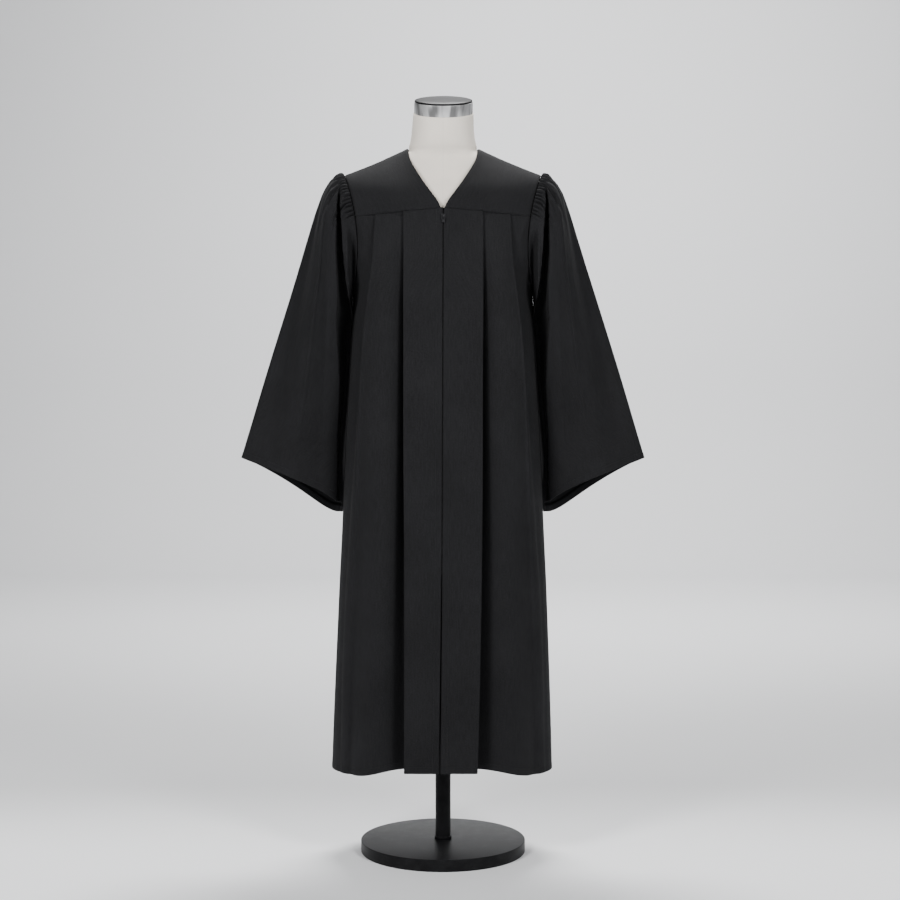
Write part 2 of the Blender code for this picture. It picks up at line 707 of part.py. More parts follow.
def arch_mesh(place):
    """The slider's bail: a strip turned half round over the pull's bar, sunk into the plate's face."""
    mesh = bpy.data.meshes.new("arch_helper")
    shape = bmesh.new()
    half = ARCH_WIDTH / 2
    top = ARCH_SPAN / 2
    low = top - ARCH_STRIP
    places = ((-half, 0, low), (half, 0, low), (half, 0, top), (-half, 0, top))
    corners = [shape.verts.new(corner) for corner in places]
    edges = [shape.edges.new((corners[k], corners[(k + 1) % 4])) for k in range(4)]
    bmesh.ops.spin(shape, geom=edges, axis=(1, 0, 0), angle=math.pi, steps=ARCH_STEPS, cent=(0, 0, 0))
    bmesh.ops.holes_fill(shape, edges=shape.edges, sides=4)
    bmesh.ops.recalc_face_normals(shape, faces=shape.faces)
    sunk = (place[0], place[1] + JOIN_DEPTH, place[2])
    bmesh.ops.translate(shape, vec=sunk, verts=shape.verts)
    shape.to_mesh(mesh)
    shape.free()
    return mesh


def add_zip(parts, cutters):
    add_cloth("zip_tape_left", tape_rows(left=True), parts, wall=TAPE_WALL, look=ZIP_LOOK)
    add_cloth("zip_tape_right", tape_rows(left=False), parts, wall=TAPE_WALL, look=ZIP_LOOK)
    row = between(SECTIONS, "z", SLIDER_Z * 1000)
    x = row.zip / 1000
    low = between(SECTIONS, "z", (SLIDER_Z - SLIDER[2] / 2) * 1000)
    face = low.front / 1000 - WALL / 2 - 2 * SEAM
    plate_y = face - SLIDER[1] / 2
    slider = add_object("zip_slider", box_mesh("zip_slider", SLIDER, (x, plate_y, SLIDER_Z)), ZIP_LOOK, parts)
    front = face - SLIDER[1]
    arch = helper(arch_mesh((x, front, SLIDER_Z)), cutters)
    fin = helper(box_mesh("fin_helper", FIN, (x, face + JOIN_DEPTH / 2, SLIDER_Z)), cutters)
    join_into(slider, [arch, fin])

    axis = (x, front - PULL_AXIS_AHEAD, SLIDER_Z)
    drop = PULL_WINDOW + PULL_BAR
    bar = box_mesh("zip_pull", (PULL_WIDTH, PULL_BAR, PULL_BAR), (0, 0, 0))
    pull = add_object("zip_pull", bar, ZIP_LOOK, parts)
    added = []
    for side in (-1, 1):
        centre = (side * (PULL_WIDTH - PULL_RAIL) / 2, 0, PULL_BAR / 2 - drop / 2)
        added.append(helper(box_mesh("rail_helper", (PULL_RAIL, PULL_BAR, drop), centre), cutters))
    tab_size = (PULL_WIDTH * 0.86, PULL_BAR * 0.94, PULL_TAB)
    tab_centre = (0, 0, -PULL_WINDOW - PULL_TAB / 2 + JOIN_DEPTH)
    added.append(helper(box_mesh("tab_helper", tab_size, tab_centre), cutters))
    join_into(pull, added)
    for piece in [pull] + added:
        piece.location = axis


def main():
    for old in list(bpy.data.objects):
        bpy.data.objects.remove(old, do_unlink=True)
    parts = bpy.data.collections.new("Graduation gown on a dress form")
    cutters = bpy.data.collections.new("Helpers")
    bpy.context.scene.collection.children.link(parts)
    bpy.context.scene.collection.children.link(cutters)

    add_stand(parts)
    add_form(parts)
    add_neck_fittings(parts)

    add_cloth("yoke_front_right", front_yoke_rows(), parts)
    add_cloth("yoke_front_left", mirrored(front_yoke_rows()), parts)
    add_cloth("yoke_back", back_yoke_rows(), parts)
    add_cloth("front_right", front_rows(left=False), parts)
    add_cloth("front_left", front_rows(left=True), parts)
    add_cloth("back", back_rows(), parts)
    add_cloth("sleeve_right", sleeve_rows(), parts, closed=True)
    add_cloth("sleeve_left", mirrored(sleeve_rows()), parts, closed=True)
    add_zip(parts, cutters)


main()
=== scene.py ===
"""The looks of a graduation gown on a limbless dress form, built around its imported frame.

Metres, +Z up, the gown's front faces -Y. The cloth pieces are thin shells over the frame's own sections,
with deeper front pleats, finer folds, gathers and sewing.
"""

import math
from collections import namedtuple

import bmesh
import bpy
import numpy as np
from bpy.props import FloatProperty, FloatVectorProperty, PointerProperty
from mathutils import Matrix, Vector


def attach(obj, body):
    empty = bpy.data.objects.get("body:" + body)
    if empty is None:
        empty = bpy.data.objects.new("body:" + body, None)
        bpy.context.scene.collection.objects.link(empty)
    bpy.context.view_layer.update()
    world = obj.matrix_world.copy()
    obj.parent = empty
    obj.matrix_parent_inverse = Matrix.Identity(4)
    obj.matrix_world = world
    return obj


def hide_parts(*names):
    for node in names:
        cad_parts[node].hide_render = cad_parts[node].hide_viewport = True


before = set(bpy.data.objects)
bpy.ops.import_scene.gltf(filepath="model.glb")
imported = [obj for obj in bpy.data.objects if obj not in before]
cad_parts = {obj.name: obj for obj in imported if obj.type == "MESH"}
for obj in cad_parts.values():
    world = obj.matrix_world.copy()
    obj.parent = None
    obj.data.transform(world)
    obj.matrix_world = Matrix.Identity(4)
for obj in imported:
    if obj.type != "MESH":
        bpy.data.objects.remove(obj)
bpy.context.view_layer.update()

bl_info = {
    "name": "Graduation gown on a dress form",
    "version": (1, 0, 0),
    "blender": (4, 5, 0),
    "location": "View3D > Sidebar > Gown",
    "description": "Builds the gown's cloth, zip and sewing, its dress form and a studio around them",
    "category": "Object",
}

BODY = "gown_and_form"
PULL_BODY = "zip_pull"

# Sizes that the cloth shares with the frame
SIDE_SEAM_HALF = 0.00005
TOP_SEAM = 0.0002
SEAM_CENTRE_Z = 1.3440
SEAM_DROP = 0.0165
UNDERARM_Z = 1.1650
HEM_MIDDLE_Z = 0.1900
HEM_SIDE_Z = 0.1790
HEM_LIFT_FRONT = 0.0180
HEM_LIFT_BACK = 0.0060
HEM_LIFT_INNER_X = 0.0900
HEM_LIFT_OUTER_X = 0.2000
HEM_LEAN = 0.0025
HEM_LEAN_START = 0.7000
HEM_LEAN_RUN = 0.5000
HEM_LIFT_START = 0.6400
CREASE = 0.0010
OPEN_CREASE = 0.0040
OPEN_PLEAT = 0.0060
OPENING_RUN = 0.5000
BACK_DEPTH = 0.95
BACK_VALLEY = 0.75
FRONT_EDGE = 0.0013
FRONT_EDGE_HEM = 0.0022
FRONT_EDGE_START = 0.6000
FRONT_EDGE_RUN = 0.4000
SHOULDER_X = 0.2035
SHOULDER_Z = 1.4175
UNDERARM_X = 0.1870
ARMHOLE_DEPTH = 0.0780
ARMHOLE_DISH = 0.0210
NECK_POINT = (0.0735, 0.0060, 1.4735)
CHEST_BOW = 0.0145
BACK_NECK_SHARE = 0.4
BACK_NECK_DEPTH = 0.0580
BACK_NECK_DROP = 0.0060
SHOULDER_SAG = 0.0025
CUFF_LIFT_FRONT = 0.0165
CUFF_DROP_BACK = 0.0093
ZIP_BOTTOM = 0.6000
SLIDER_Z = 1.3250

# Sections of a front, from the yoke seam to the hem, in millimetres. The back has shallower valleys.
Section = namedtuple(
    "Section",
    "z zip front fold_left fold_right tuck valley"
    " second_x second_y second_tuck second_valley bow side_bow side",
)
SECTIONS = (
    Section(1344, 1.2, -112, 79.5, 81.5, 14, 2, 137, -95, 13, 2, 0, 3.5, 178),
    Section(1300, 1.0, -118, 79.5, 81.5, 13, 7, 139.5, -103, 12, 5, 5, 4, 176),
    Section(1240, 0.8, -124, 79.0, 81.2, 11, 16, 143, -110, 10, 9, 11, 4, 176),
    Section(1165, 0.6, -129, 79.0, 81.0, 9, 26, 152, -114, 8, 13, 17, 5, 187),
    Section(1080, 0.3, -133, 78.5, 80.5, 8, 33, 162, -115, 5, 15, 21, 6, 191),
    Section(950, 0.0, -137, 78.5, 80.0, 7, 37, 171, -113, 1, 17, 25, 7, 197.5),
    Section(800, -0.7, -141, 78.5, 79.5, 6, 40, 178, -107, -5, 17, 28, 7, 204),
    Section(640, -1.5, -145, 78.5, 78.5, 5.5, 43, 185, -98, -9, 16, 30, 7, 210.5),
    Section(430, -3.6, -149, 78.5, 76.0, 5, 45, 193, -86, -11, 15, 31, 6, 221),
    Section(290, -5.2, -152, 78.5, 73.0, 5, 46, 197, -79, -12, 15, 31, 6, 227),
    Section(190, -6.4, -154, 78.5, 70.0, 5, 46, 200, -75, -13, 15, 31, 5, 231),
)

# The neck edge of a front yoke, from the shoulder line to the yoke seam
NeckRow = namedtuple("NeckRow", "down x y z")
NECK_EDGE = (
    NeckRow(0.00, 0.0735, 0.0060, 1.4735),
    NeckRow(0.12, 0.0722, -0.0180, 1.4665),
    NeckRow(0.25, 0.0680, -0.0400, 1.4490),
    NeckRow(0.50, 0.0455, -0.0790, 1.4085),
    NeckRow(0.75, 0.0235, -0.1010, 1.3765),
    NeckRow(0.87, 0.0122, -0.1070, 1.3610),
    NeckRow(1.00, 0.0036, -0.1120, 1.3440),
)

# Loops of a sleeve, from the armhole to the cuff: the outer and the inner edge, and the half depth
Loop = namedtuple("Loop", "along outer_x outer_z inner_x inner_z depth dish")
LOOPS = (
    Loop(0.00, 0.2048, 1.4180, 0.1884, 1.1650, 0.0780, 0.0210),
    Loop(0.02, 0.2150, 1.4168, 0.1892, 1.1550, 0.0820, 0.0140),
    Loop(0.05, 0.2290, 1.4075, 0.1899, 1.1420, 0.0860, 0.0080),
    Loop(0.10, 0.2450, 1.3865, 0.1909, 1.1200, 0.0880, 0.0030),
    Loop(0.17, 0.2595, 1.3510, 0.1924, 1.0900, 0.0860, 0.0000),
    Loop(0.27, 0.2780, 1.2930, 0.1946, 1.0460, 0.0810, 0.0000),
    Loop(0.40, 0.3040, 1.2090, 0.1978, 0.9890, 0.0750, 0.0000),
    Loop(0.55, 0.3340, 1.1130, 0.2015, 0.9230, 0.0690, 0.0000),
    Loop(0.70, 0.3640, 1.0170, 0.2052, 0.8570, 0.0630, 0.0000),
    Loop(0.85, 0.3935, 0.9220, 0.2085, 0.7910, 0.0580, 0.0000),
    Loop(1.00, 0.4215, 0.8310, 0.2113, 0.7260, 0.0540, 0.0000),
)

# Folds down a sleeve's front: how far along, the angle from the outer edge, the rise in millimetres,
# which is a valley below zero, and the half width as an angle. Each has a softer one like it behind.
FoldRow = namedtuple("FoldRow", "along angle rise wide")
RIDGE_FOLD = (
    FoldRow(0.03, 0.34, 0, 0.24),
    FoldRow(0.08, 0.64, 5, 0.26),
    FoldRow(0.14, 0.92, 11, 0.30),
    FoldRow(0.27, 1.21, 14, 0.36),
    FoldRow(0.40, 1.36, 15, 0.42),
    FoldRow(0.55, 1.47, 14, 0.46),
    FoldRow(0.80, 1.58, 11, 0.50),
    FoldRow(1.00, 1.64, 8, 0.52),
)
RIDGE_LINE = (
    FoldRow(0.05, 0.50, 0, 0.045),
    FoldRow(0.10, 0.76, 2.0, 0.050),
    FoldRow(0.19, 1.07, 3.0, 0.055),
    FoldRow(0.40, 1.36, 3.0, 0.060),
    FoldRow(0.60, 1.50, 2.2, 0.065),
    FoldRow(0.88, 1.61, 0, 0.070),
)
DEEP_FOLD = (
    FoldRow(0.012, 0.60, 0, 0.06),
    FoldRow(0.03, 0.74, -7, 0.07),
    FoldRow(0.04, 0.90, -18, 0.12),
    FoldRow(0.05, 1.14, -32, 0.23),
    FoldRow(0.065, 1.44, -42, 0.31),
    FoldRow(0.08, 1.82, -48, 0.52),
    FoldRow(0.10, 2.10, -50, 0.64),
    FoldRow(0.125, 2.42, -54, 0.74),
    FoldRow(0.18, 2.74, -58, 0.80),
    FoldRow(0.27, 2.86, -60, 0.82),
    FoldRow(0.40, 2.93, -58, 0.69),
    FoldRow(0.55, 2.97, -56, 0.55),
    FoldRow(0.70, 3.01, -52, 0.45),
    FoldRow(0.85, 3.04, -46, 0.37),
    FoldRow(1.00, 3.06, -34, 0.32),
)
SEAM_FOLD = (
    FoldRow(0.002, 2.20, 0, 0.66),
    FoldRow(0.008, 2.20, -16, 0.70),
    FoldRow(0.018, 2.20, -22, 0.76),
    FoldRow(0.028, 2.20, -8, 0.80),
    FoldRow(0.036, 2.20, 0, 0.80),
)
SHORT_FOLD = (
    FoldRow(0.015, 0.56, 0, 0.06),
    FoldRow(0.05, 0.66, -6, 0.07),
    FoldRow(0.08, 0.70, -7, 0.08),
    FoldRow(0.12, 0.76, -4, 0.10),
    FoldRow(0.20, 0.86, 0, 0.14),
)
POCKET_FOLD = (
    FoldRow(0.015, 1.02, 0, 0.05),
    FoldRow(0.04, 1.06, -6, 0.06),
    FoldRow(0.06, 1.10, -6, 0.07),
    FoldRow(0.11, 1.16, 0, 0.08),
)
INNER_FOLD = (
    FoldRow(0.018, 1.50, 0, 0.20),
    FoldRow(0.035, 1.72, 5, 0.34),
    FoldRow(0.050, 2.00, 6, 0.40),
    FoldRow(0.065, 2.30, 5, 0.40),
    FoldRow(0.090, 2.70, 0, 0.30),
)
SIDE_FOLD = (
    FoldRow(0.08, 0.16, 0, 0.18),
    FoldRow(0.17, 0.36, -9, 0.32),
    FoldRow(0.27, 0.50, -14, 0.42),
    FoldRow(0.55, 0.68, -18, 0.56),
    FoldRow(0.80, 0.76, -15, 0.60),
    FoldRow(1.00, 0.80, -8, 0.60),
)
# Each fold with the power of its outline, low for steep walls, and how creased its crest is
FOLDS = (
    (RIDGE_FOLD, 2.0, 0.8),
    (RIDGE_LINE, 2.0, 0.0),
    (SHORT_FOLD, 1.0, 0.0),
    (POCKET_FOLD, 1.0, 0.0),
    (INNER_FOLD, 1.6, 0.0),
    (SIDE_FOLD, 2.0, 0.0),
)
# The folds that go straight in from the front instead of square to the cloth
STRAIGHT_FOLDS = ((DEEP_FOLD, 0.32, 0.0), (SEAM_FOLD, 1.0, 0.0))
BACK_FOLD_TURN = 0.14
BACK_FOLD_SHARE = 0.7

# Sections of the dress form: half width, half depths in front and behind, the middle's place, and
# the power of its outline, 2 for an ellipse
FormRow = namedtuple("FormRow", "z wide front back middle_y power")
FORM_ROWS = (
    FormRow(0.700, 0.1460, 0.0880, 0.0900, 0.0000, 2.3),
    FormRow(0.720, 0.1580, 0.0960, 0.1000, 0.0000, 2.3),
    FormRow(0.790, 0.1680, 0.0990, 0.1080, 0.0000, 2.3),
    FormRow(0.860, 0.1650, 0.0980, 0.1080, 0.0000, 2.3),
    FormRow(1.000, 0.1340, 0.0880, 0.0880, 0.0000, 2.2),
    FormRow(1.120, 0.1500, 0.0970, 0.0920, 0.0000, 2.2),
    FormRow(1.220, 0.1630, 0.1040, 0.0960, 0.0000, 2.3),
    FormRow(1.300, 0.1680, 0.1020, 0.0960, 0.0000, 2.3),
    FormRow(1.340, 0.1720, 0.0950, 0.0930, 0.0000, 2.3),
    FormRow(1.370, 0.1840, 0.0820, 0.0850, 0.0000, 2.3),
    FormRow(1.392, 0.1950, 0.0660, 0.0720, 0.0000, 2.2),
    FormRow(1.404, 0.1975, 0.0550, 0.0600, 0.0000, 2.1),
    FormRow(1.412, 0.1960, 0.0490, 0.0540, 0.0000, 2.0),
    FormRow(1.420, 0.1900, 0.0460, 0.0500, 0.0010, 2.0),
    FormRow(1.435, 0.1530, 0.0450, 0.0480, 0.0030, 2.0),
    FormRow(1.450, 0.1130, 0.0470, 0.0480, 0.0060, 2.0),
    FormRow(1.459, 0.0870, 0.0490, 0.0480, 0.0080, 2.0),
    FormRow(1.466, 0.0728, 0.0520, 0.0490, 0.0090, 2.0),
    FormRow(1.477, 0.0704, 0.0565, 0.0500, 0.0090, 2.0),
    FormRow(1.494, 0.0665, 0.0585, 0.0510, 0.0080, 2.0),
    FormRow(1.515, 0.0640, 0.0590, 0.0540, 0.0060, 2.0),
)
FORM_SIDES = 120
NECK_TILT = math.radians(15)
NECK_TOP_WIDE = 0.0625
NECK_TOP_DEEP = 0.0600
RING_RADIUS = 0.0608
RING_HEIGHT = 0.0235
RING_CENTRE = (0.0012, 0.0000, 1.5573)
CAP_HEIGHT = 0.0075
BASE_RADIUS = 0.1730
BASE_THICKNESS = 0.0250
POLE_RADIUS = 0.0160
COLLAR_RADIUS = 0.0180
COLLAR_HEIGHT = 0.0060
FORM_BOTTOM = 0.7000
STAND_GAP = 0.0003


# Small sums shared by every surface


def mix(a, b, t):
    return a + (b - a) * t


def smooth(low, high, at):
    """A share that rises smoothly from 0 at low to 1 at high."""
    t = np.clip((at - low) / (high - low), 0.0, 1.0)
    return t * t * (3 - 2 * t)


def bell(x, power=2.0):
    return (1 - np.minimum(x * x, 1)) ** power


def crest(x, power, sharp):
    """A hump that is round at sharp 0 and nearly a creased edge at sharp 1."""
    ridge = np.clip(1 - np.sqrt(x * x + 0.004) + 0.06, 0, 1) ** 1.4
    return mix(bell(x, power), ridge, sharp)


def table_at(rows, key, at):
    """A table's columns at many values of its key, on a smooth line through its rows."""
    data = np.array(rows, float)
    keys = np.array([getattr(row, key) for row in rows], float)
    if keys[0] > keys[-1]:
        data, keys = data[::-1], keys[::-1]
    at = np.clip(np.asarray(at, float), keys[0], keys[-1])
    steps = np.diff(keys)[:, None]
    slopes = np.diff(data, axis=0) / steps
    tangents = np.vstack([slopes[:1], (slopes[1:] * steps[:-1] + slopes[:-1] * steps[1:]), slopes[-1:]])
    tangents[1:-1] /= steps[1:] + steps[:-1]
    index = np.clip(np.searchsorted(keys, at, side="right") - 1, 0, len(keys) - 2)
    step = steps[index]
    t = (at - keys[index])[..., None] / step
    return hermite(data[index], data[index + 1], tangents[index] * step, tangents[index + 1] * step, t)


def hermite(start, end, leave, arrive, t):
    ramp = t * t * (3 - 2 * t)
    return mix(start, end, ramp) + leave * t * (1 - t) ** 2 - arrive * t * t * (1 - t)


def through(points, places):
    """Points on a smooth line through points, at places counted in points. Long stretches stay straight."""
    steps = np.maximum(np.linalg.norm(np.diff(points, axis=0), axis=-1, keepdims=True), 1e-6)
    tangents = np.empty_like(points)
    tangents[1:-1] = (points[2:] - points[:-2]) / (steps[1:] + steps[:-1])
    tangents[0] = (points[1] - points[0]) / steps[0]
    tangents[-1] = (points[-1] - points[-2]) / steps[-1]
    index = np.minimum(places.astype(int), len(points) - 2)
    t = (places - index).reshape(-1, *[1] * (points.ndim - 1))
    reach = steps[index]
    return hermite(points[index], points[index + 1], tangents[index] * reach, tangents[index + 1] * reach, t)


def fine_places(points, spacing, least):
    """Places along a line of points, with at least a few in each stretch and no gap over spacing."""
    lengths = np.linalg.norm(np.diff(points, axis=0), axis=-1)
    if lengths.ndim > 1:
        lengths = lengths.max(axis=1)
    places = []
    for index, length in enumerate(lengths):
        count = max(least, math.ceil(length / spacing))
        places += [index + k / count for k in range(count)]
    return np.array(places + [len(lengths)], float)


def unit(vectors):
    return vectors / np.maximum(np.linalg.norm(vectors, axis=-1, keepdims=True), 1e-9)


def square_to(vectors, ways):
    """The unit vectors that stay of some vectors when their share along unit ways is taken out."""
    return unit(vectors - (vectors * ways).sum(-1, keepdims=True) * ways)


def handed(grid, left):
    """A grid that is worked out on the right, or its mirror image for the left."""
    return grid[:, ::-1] * (-1, 1, 1) if left else grid


def normals_of(grid, closed=False):
    """The outward unit normals of a grid of points, rows going down and columns to +X at the front."""
    if closed:
        across = np.roll(grid, -1, axis=1) - np.roll(grid, 1, axis=1)
    else:
        across = np.gradient(grid, axis=1)
    return unit(np.cross(np.gradient(grid, axis=0), across))


# The frame's own surfaces, on which the cloth lies


def armhole(angle, back=False):
    """A point of the armhole ring. Angle 0 is the shoulder point and pi the underarm."""
    share = (1 + math.cos(angle)) / 2
    x = mix(UNDERARM_X, SHOULDER_X, share) - ARMHOLE_DISH * math.sin(angle) ** 2
    y = ARMHOLE_DEPTH * math.sin(angle)
    return x, y if back else -y, mix(UNDERARM_Z, SHOULDER_Z, share)


def armhole_angle(z):
    share = (z - UNDERARM_Z) / (SHOULDER_Z - UNDERARM_Z)
    return math.acos(max(-1.0, min(1.0, 2 * share - 1)))


SEAM_ANGLE = armhole_angle(SEAM_CENTRE_Z - SEAM_DROP)


def shoulder_sag(share):
    """How far the shoulder line dips below straight, at a share of the way from neck to armhole."""
    return 4 * share * (1 - share) * SHOULDER_SAG


def front_yoke_point(across, down):
    """A point of a front yoke: across runs from the neck edge to the armhole, down from the shoulder."""
    _, *inner = table_at(NECK_EDGE, "down", down)
    outer = armhole(down * SEAM_ANGLE)
    bow = 4 * across * (1 - across) * CHEST_BOW * math.sin(down * math.pi / 2)
    x = mix(inner[0], outer[0], across)
    y = mix(inner[1], outer[1], across) - bow
    sag = shoulder_sag(across) * (1 - down) ** 2
    return x, y - SIDE_SEAM_HALF * (1 - down) ** 4, mix(inner[2], outer[2], across) - sag


def back_top(across):
    """The top edge of half the back yoke: round the back of the neck, then along the shoulder."""
    x, y, z = NECK_POINT
    if across < BACK_NECK_SHARE:
        turn = across / BACK_NECK_SHARE * math.pi / 2
        y += BACK_NECK_DEPTH * math.cos(turn)
        return x * math.sin(turn), y, z - BACK_NECK_DROP * math.cos(turn)
    share = (across - BACK_NECK_SHARE) / (1 - BACK_NECK_SHARE)
    z = mix(z, SHOULDER_Z, share) - shoulder_sag(share)
    return mix(x, SHOULDER_X, share), mix(y, 0, share), z


def back_yoke_point(across, down):
    """A point of half the back yoke: across runs from the centre back to the armhole."""
    top = back_top(across)
    end = armhole(SEAM_ANGLE, back=True)
    seam_x = end[0] * across
    seam_y = mix(-SECTIONS[0].front / 1000 * BACK_DEPTH, end[1], across ** 2.2)
    seam_z = SEAM_CENTRE_Z - SEAM_DROP * across
    ring = armhole(down * SEAM_ANGLE, back=True)
    fall = (SHOULDER_Z - ring[2]) / (SHOULDER_Z - end[2])
    out = ring[1] / end[1]
    narrow = (SHOULDER_X - ring[0]) / (SHOULDER_X - end[0])
    narrow = mix(down, narrow, across ** 4)
    y = mix(top[1], seam_y, out) + SIDE_SEAM_HALF * (1 - down) ** 4
    return mix(top[0], seam_x, narrow), y, mix(top[2], seam_z, fall)


def fold_corner(before, tip, after, gap):
    """Three points round a fold's tip. A closed fold turns back on itself two gaps away."""
    ways = []
    for other in (before, after):
        run = (other[0] - tip[0], other[1] - tip[1])
        length = math.hypot(*run)
        ways.append((run[0] / length, run[1] / length))
    middle = (ways[0][0] + ways[1][0], ways[0][1] + ways[1][1])
    size = math.hypot(*middle)
    middle = (middle[0] / size, middle[1] / size)
    points = []
    for way in ways:
        along = way[0] * middle[0] + way[1] * middle[1]
        aside = way[0] * -middle[1] + way[1] * middle[0]
        if along > math.cos(math.pi / 4):
            sign = math.copysign(1, aside)
            reach = (middle[0] - sign * middle[1], middle[1] + sign * middle[0])
        else:
            reach = (way[0] * math.sqrt(2), way[1] * math.sqrt(2))
        points.append((tip[0] + reach[0] * gap, tip[1] + reach[1] * gap))
    rounded = max(0.0, 1 - size / 2) * 0.9
    chord = ((points[0][0] + points[1][0]) / 2, (points[0][1] + points[1][1]) / 2)
    crown = (mix(tip[0], chord[0], rounded), mix(tip[1], chord[1], rounded))
    return points[0], crown, points[1]


def run_between(start, end, steps, bow=0.0):
    """The points inside a stretch of cloth, bowed out by a given height at its middle."""
    length = math.hypot(end[0] - start[0], end[1] - start[1])
    out = ((end[1] - start[1]) / length, -(end[0] - start[0]) / length)
    points = []
    for step in range(1, steps):
        t = step / steps
        rise = 4 * t * (1 - t) * bow
        x = mix(start[0], end[0], t) + out[0] * rise
        points.append((x, mix(start[1], end[1], t) + out[1] * rise))
    return points


def seam_share(z):
    """How much of the yoke seam's slope is left at a height."""
    return max(0.0, (z - UNDERARM_Z) / (SEAM_CENTRE_Z - UNDERARM_Z))


def front_section(row, left, edge):
    """The front half of a section, from the centre edge to the side, as x and y with the front at -y."""
    front = row.front / 1000
    fold_x = (row.fold_left if left else row.fold_right) / 1000
    height = row.z / 1000
    lean = HEM_LEAN * max(0.0, (HEM_LEAN_START - height) / HEM_LEAN_RUN)
    open_share = min(1, (SECTIONS[0].z / 1000 - height) / OPENING_RUN)
    gap = CREASE
    soft = mix(CREASE, OPEN_CREASE, open_share)
    first = (fold_x, front + gap)
    under = (fold_x - row.tuck / 1000, front + gap + row.valley / 1000)
    second = (row.second_x / 1000, row.second_y / 1000 + gap)
    second_under = (second[0] - row.second_tuck / 1000, second[1] + row.second_valley / 1000)
    if height > UNDERARM_Z:
        side = armhole(armhole_angle(height - SEAM_DROP * seam_share(height)))[:2]
    else:
        side = (row.side / 1000 + (lean if left else -lean), -SIDE_SEAM_HALF)
    start = (edge, front)
    corners = (
        fold_corner(start, first, under, gap),
        fold_corner(first, under, second, soft),
        fold_corner(under, second, second_under, mix(gap, OPEN_PLEAT, open_share ** 2)),
        fold_corner(second, second_under, side, soft),
    )
    points = [start]
    points += run_between(start, corners[0][0], 4) + list(corners[0])
    points += run_between(corners[0][-1], corners[1][0], 2) + list(corners[1])
    points += run_between(corners[1][-1], corners[2][0], 6, row.bow / 1000) + list(corners[2])
    points += run_between(corners[2][-1], corners[3][0], 2) + list(corners[3])
    points += run_between(corners[3][-1], side, 5, row.side_bow / 1000) + [side]
    return points


def at_height(points, z, hem_lift):
    """Gives a section its heights: sloped along the yoke seam, and lifted in the middle of the hem."""
    reach = armhole(SEAM_ANGLE)[0]
    drop = SEAM_DROP * seam_share(z)
    low = max(0.0, (HEM_LIFT_START - z) / (HEM_LIFT_START - HEM_MIDDLE_Z))
    placed = []
    for x, y in points:
        hem = HEM_SIDE_Z + hem_lift * (1 - smooth(HEM_LIFT_INNER_X, HEM_LIFT_OUTER_X, abs(x)))
        height = z - drop * min(1, abs(x) / reach) + (hem - HEM_MIDDLE_Z) * low ** 2
        placed.append((x, y, height - TOP_SEAM * seam_share(z) ** 8))
    return placed


def front_rows(left):
    rows = []
    for row in SECTIONS:
        low = max(0.0, (FRONT_EDGE_START - row.z / 1000) / FRONT_EDGE_RUN)
        edge = mix(FRONT_EDGE, FRONT_EDGE_HEM, low) + (-row.zip if left else row.zip) / 1000
        rows.append(at_height(front_section(row, left, edge), row.z / 1000, HEM_LIFT_FRONT))
    return rows


def back_y(x, y, row):
    """The back's depth, which meets the armhole ring at the full depth of the front."""
    side = armhole(armhole_angle(row.z / 1000 - SEAM_DROP * seam_share(row.z / 1000)))[0]
    return -y * mix(BACK_DEPTH, 1, min(1, max(0, x) / side) ** 6)


def back_half(row, left):
    row = row._replace(valley=row.valley * BACK_VALLEY)
    high = row.z / 1000 > UNDERARM_Z
    half = [(x, back_y(x, y, row) if high else -y * BACK_DEPTH) for x, y in front_section(row, left, 0.0)]
    return half[:-1] + [(half[-1][0], max(half[-1][1], SIDE_SEAM_HALF))]


def back_rows():
    rows = []
    for row in SECTIONS:
        whole = [(-x, y) for x, y in reversed(back_half(row, True)[1:])] + back_half(row, False)
        rows.append(at_height(whole, row.z / 1000, HEM_LIFT_BACK))
    return rows


# Finer cloth on those surfaces

HEM_STITCHES = 0.0130
ZIP_STITCHES = 0.0125
GROOVE_DEPTH = 0.00045
GROOVE_WIDE = 0.0012
TURN_PROUD = 0.0003
HEM_PUCKER = 0.0002
HEM_PUCKER_WIDE = 0.006
PANEL_SPACING = 0.0045
BACK_SPACING = 0.0055
ROW_BANDS = ((1.344, 1.314, 0.002), (1.314, 0.225, 0.0072), (0.225, 0.190, 0.0016))


def banded(bands):
    """Places from coarse to fine: each band gives where it starts, where it ends and the step."""
    places = []
    for start, end, step in bands:
        count = max(1, round(abs(end - start) / step))
        places += [mix(start, end, k / count) for k in range(count)]
    return np.array(places + [bands[-1][1]])


def panel_grid(rows, spacing, least):
    """A dense grid over a panel's sections."""
    control = np.array(rows, float)
    heights = np.array([row.z / 1000 for row in SECTIONS])
    places = np.interp(-banded(ROW_BANDS), -heights, np.arange(len(heights), dtype=float))
    long_way = through(control, places)
    columns = fine_places(control.transpose(1, 0, 2), spacing, least)
    return through(long_way.transpose(1, 0, 2), columns).transpose(1, 0, 2)


def run_lengths(grid, axis):
    """How far along the cloth each point lies from the grid's first row or column."""
    steps = np.linalg.norm(np.diff(grid, axis=axis), axis=-1)
    start = np.zeros_like(np.take(steps, [0], axis=axis))
    return np.cumsum(np.concatenate([start, steps], axis=axis), axis=axis)


def edge_roll(distance, deep=0.0009, wide=0.0022):
    """How far the cloth turns in beside a seam."""
    return -deep * np.exp(-((distance / wide) ** 2))


def stitched(distance, line):
    """The groove that a row of stitches pulls, with the turned cloth standing a little proud beside it."""
    groove = -GROOVE_DEPTH * np.exp(-(((distance - line) / GROOVE_WIDE) ** 2))
    return groove + TURN_PROUD * smooth(line * 1.05, line * 0.85, distance)


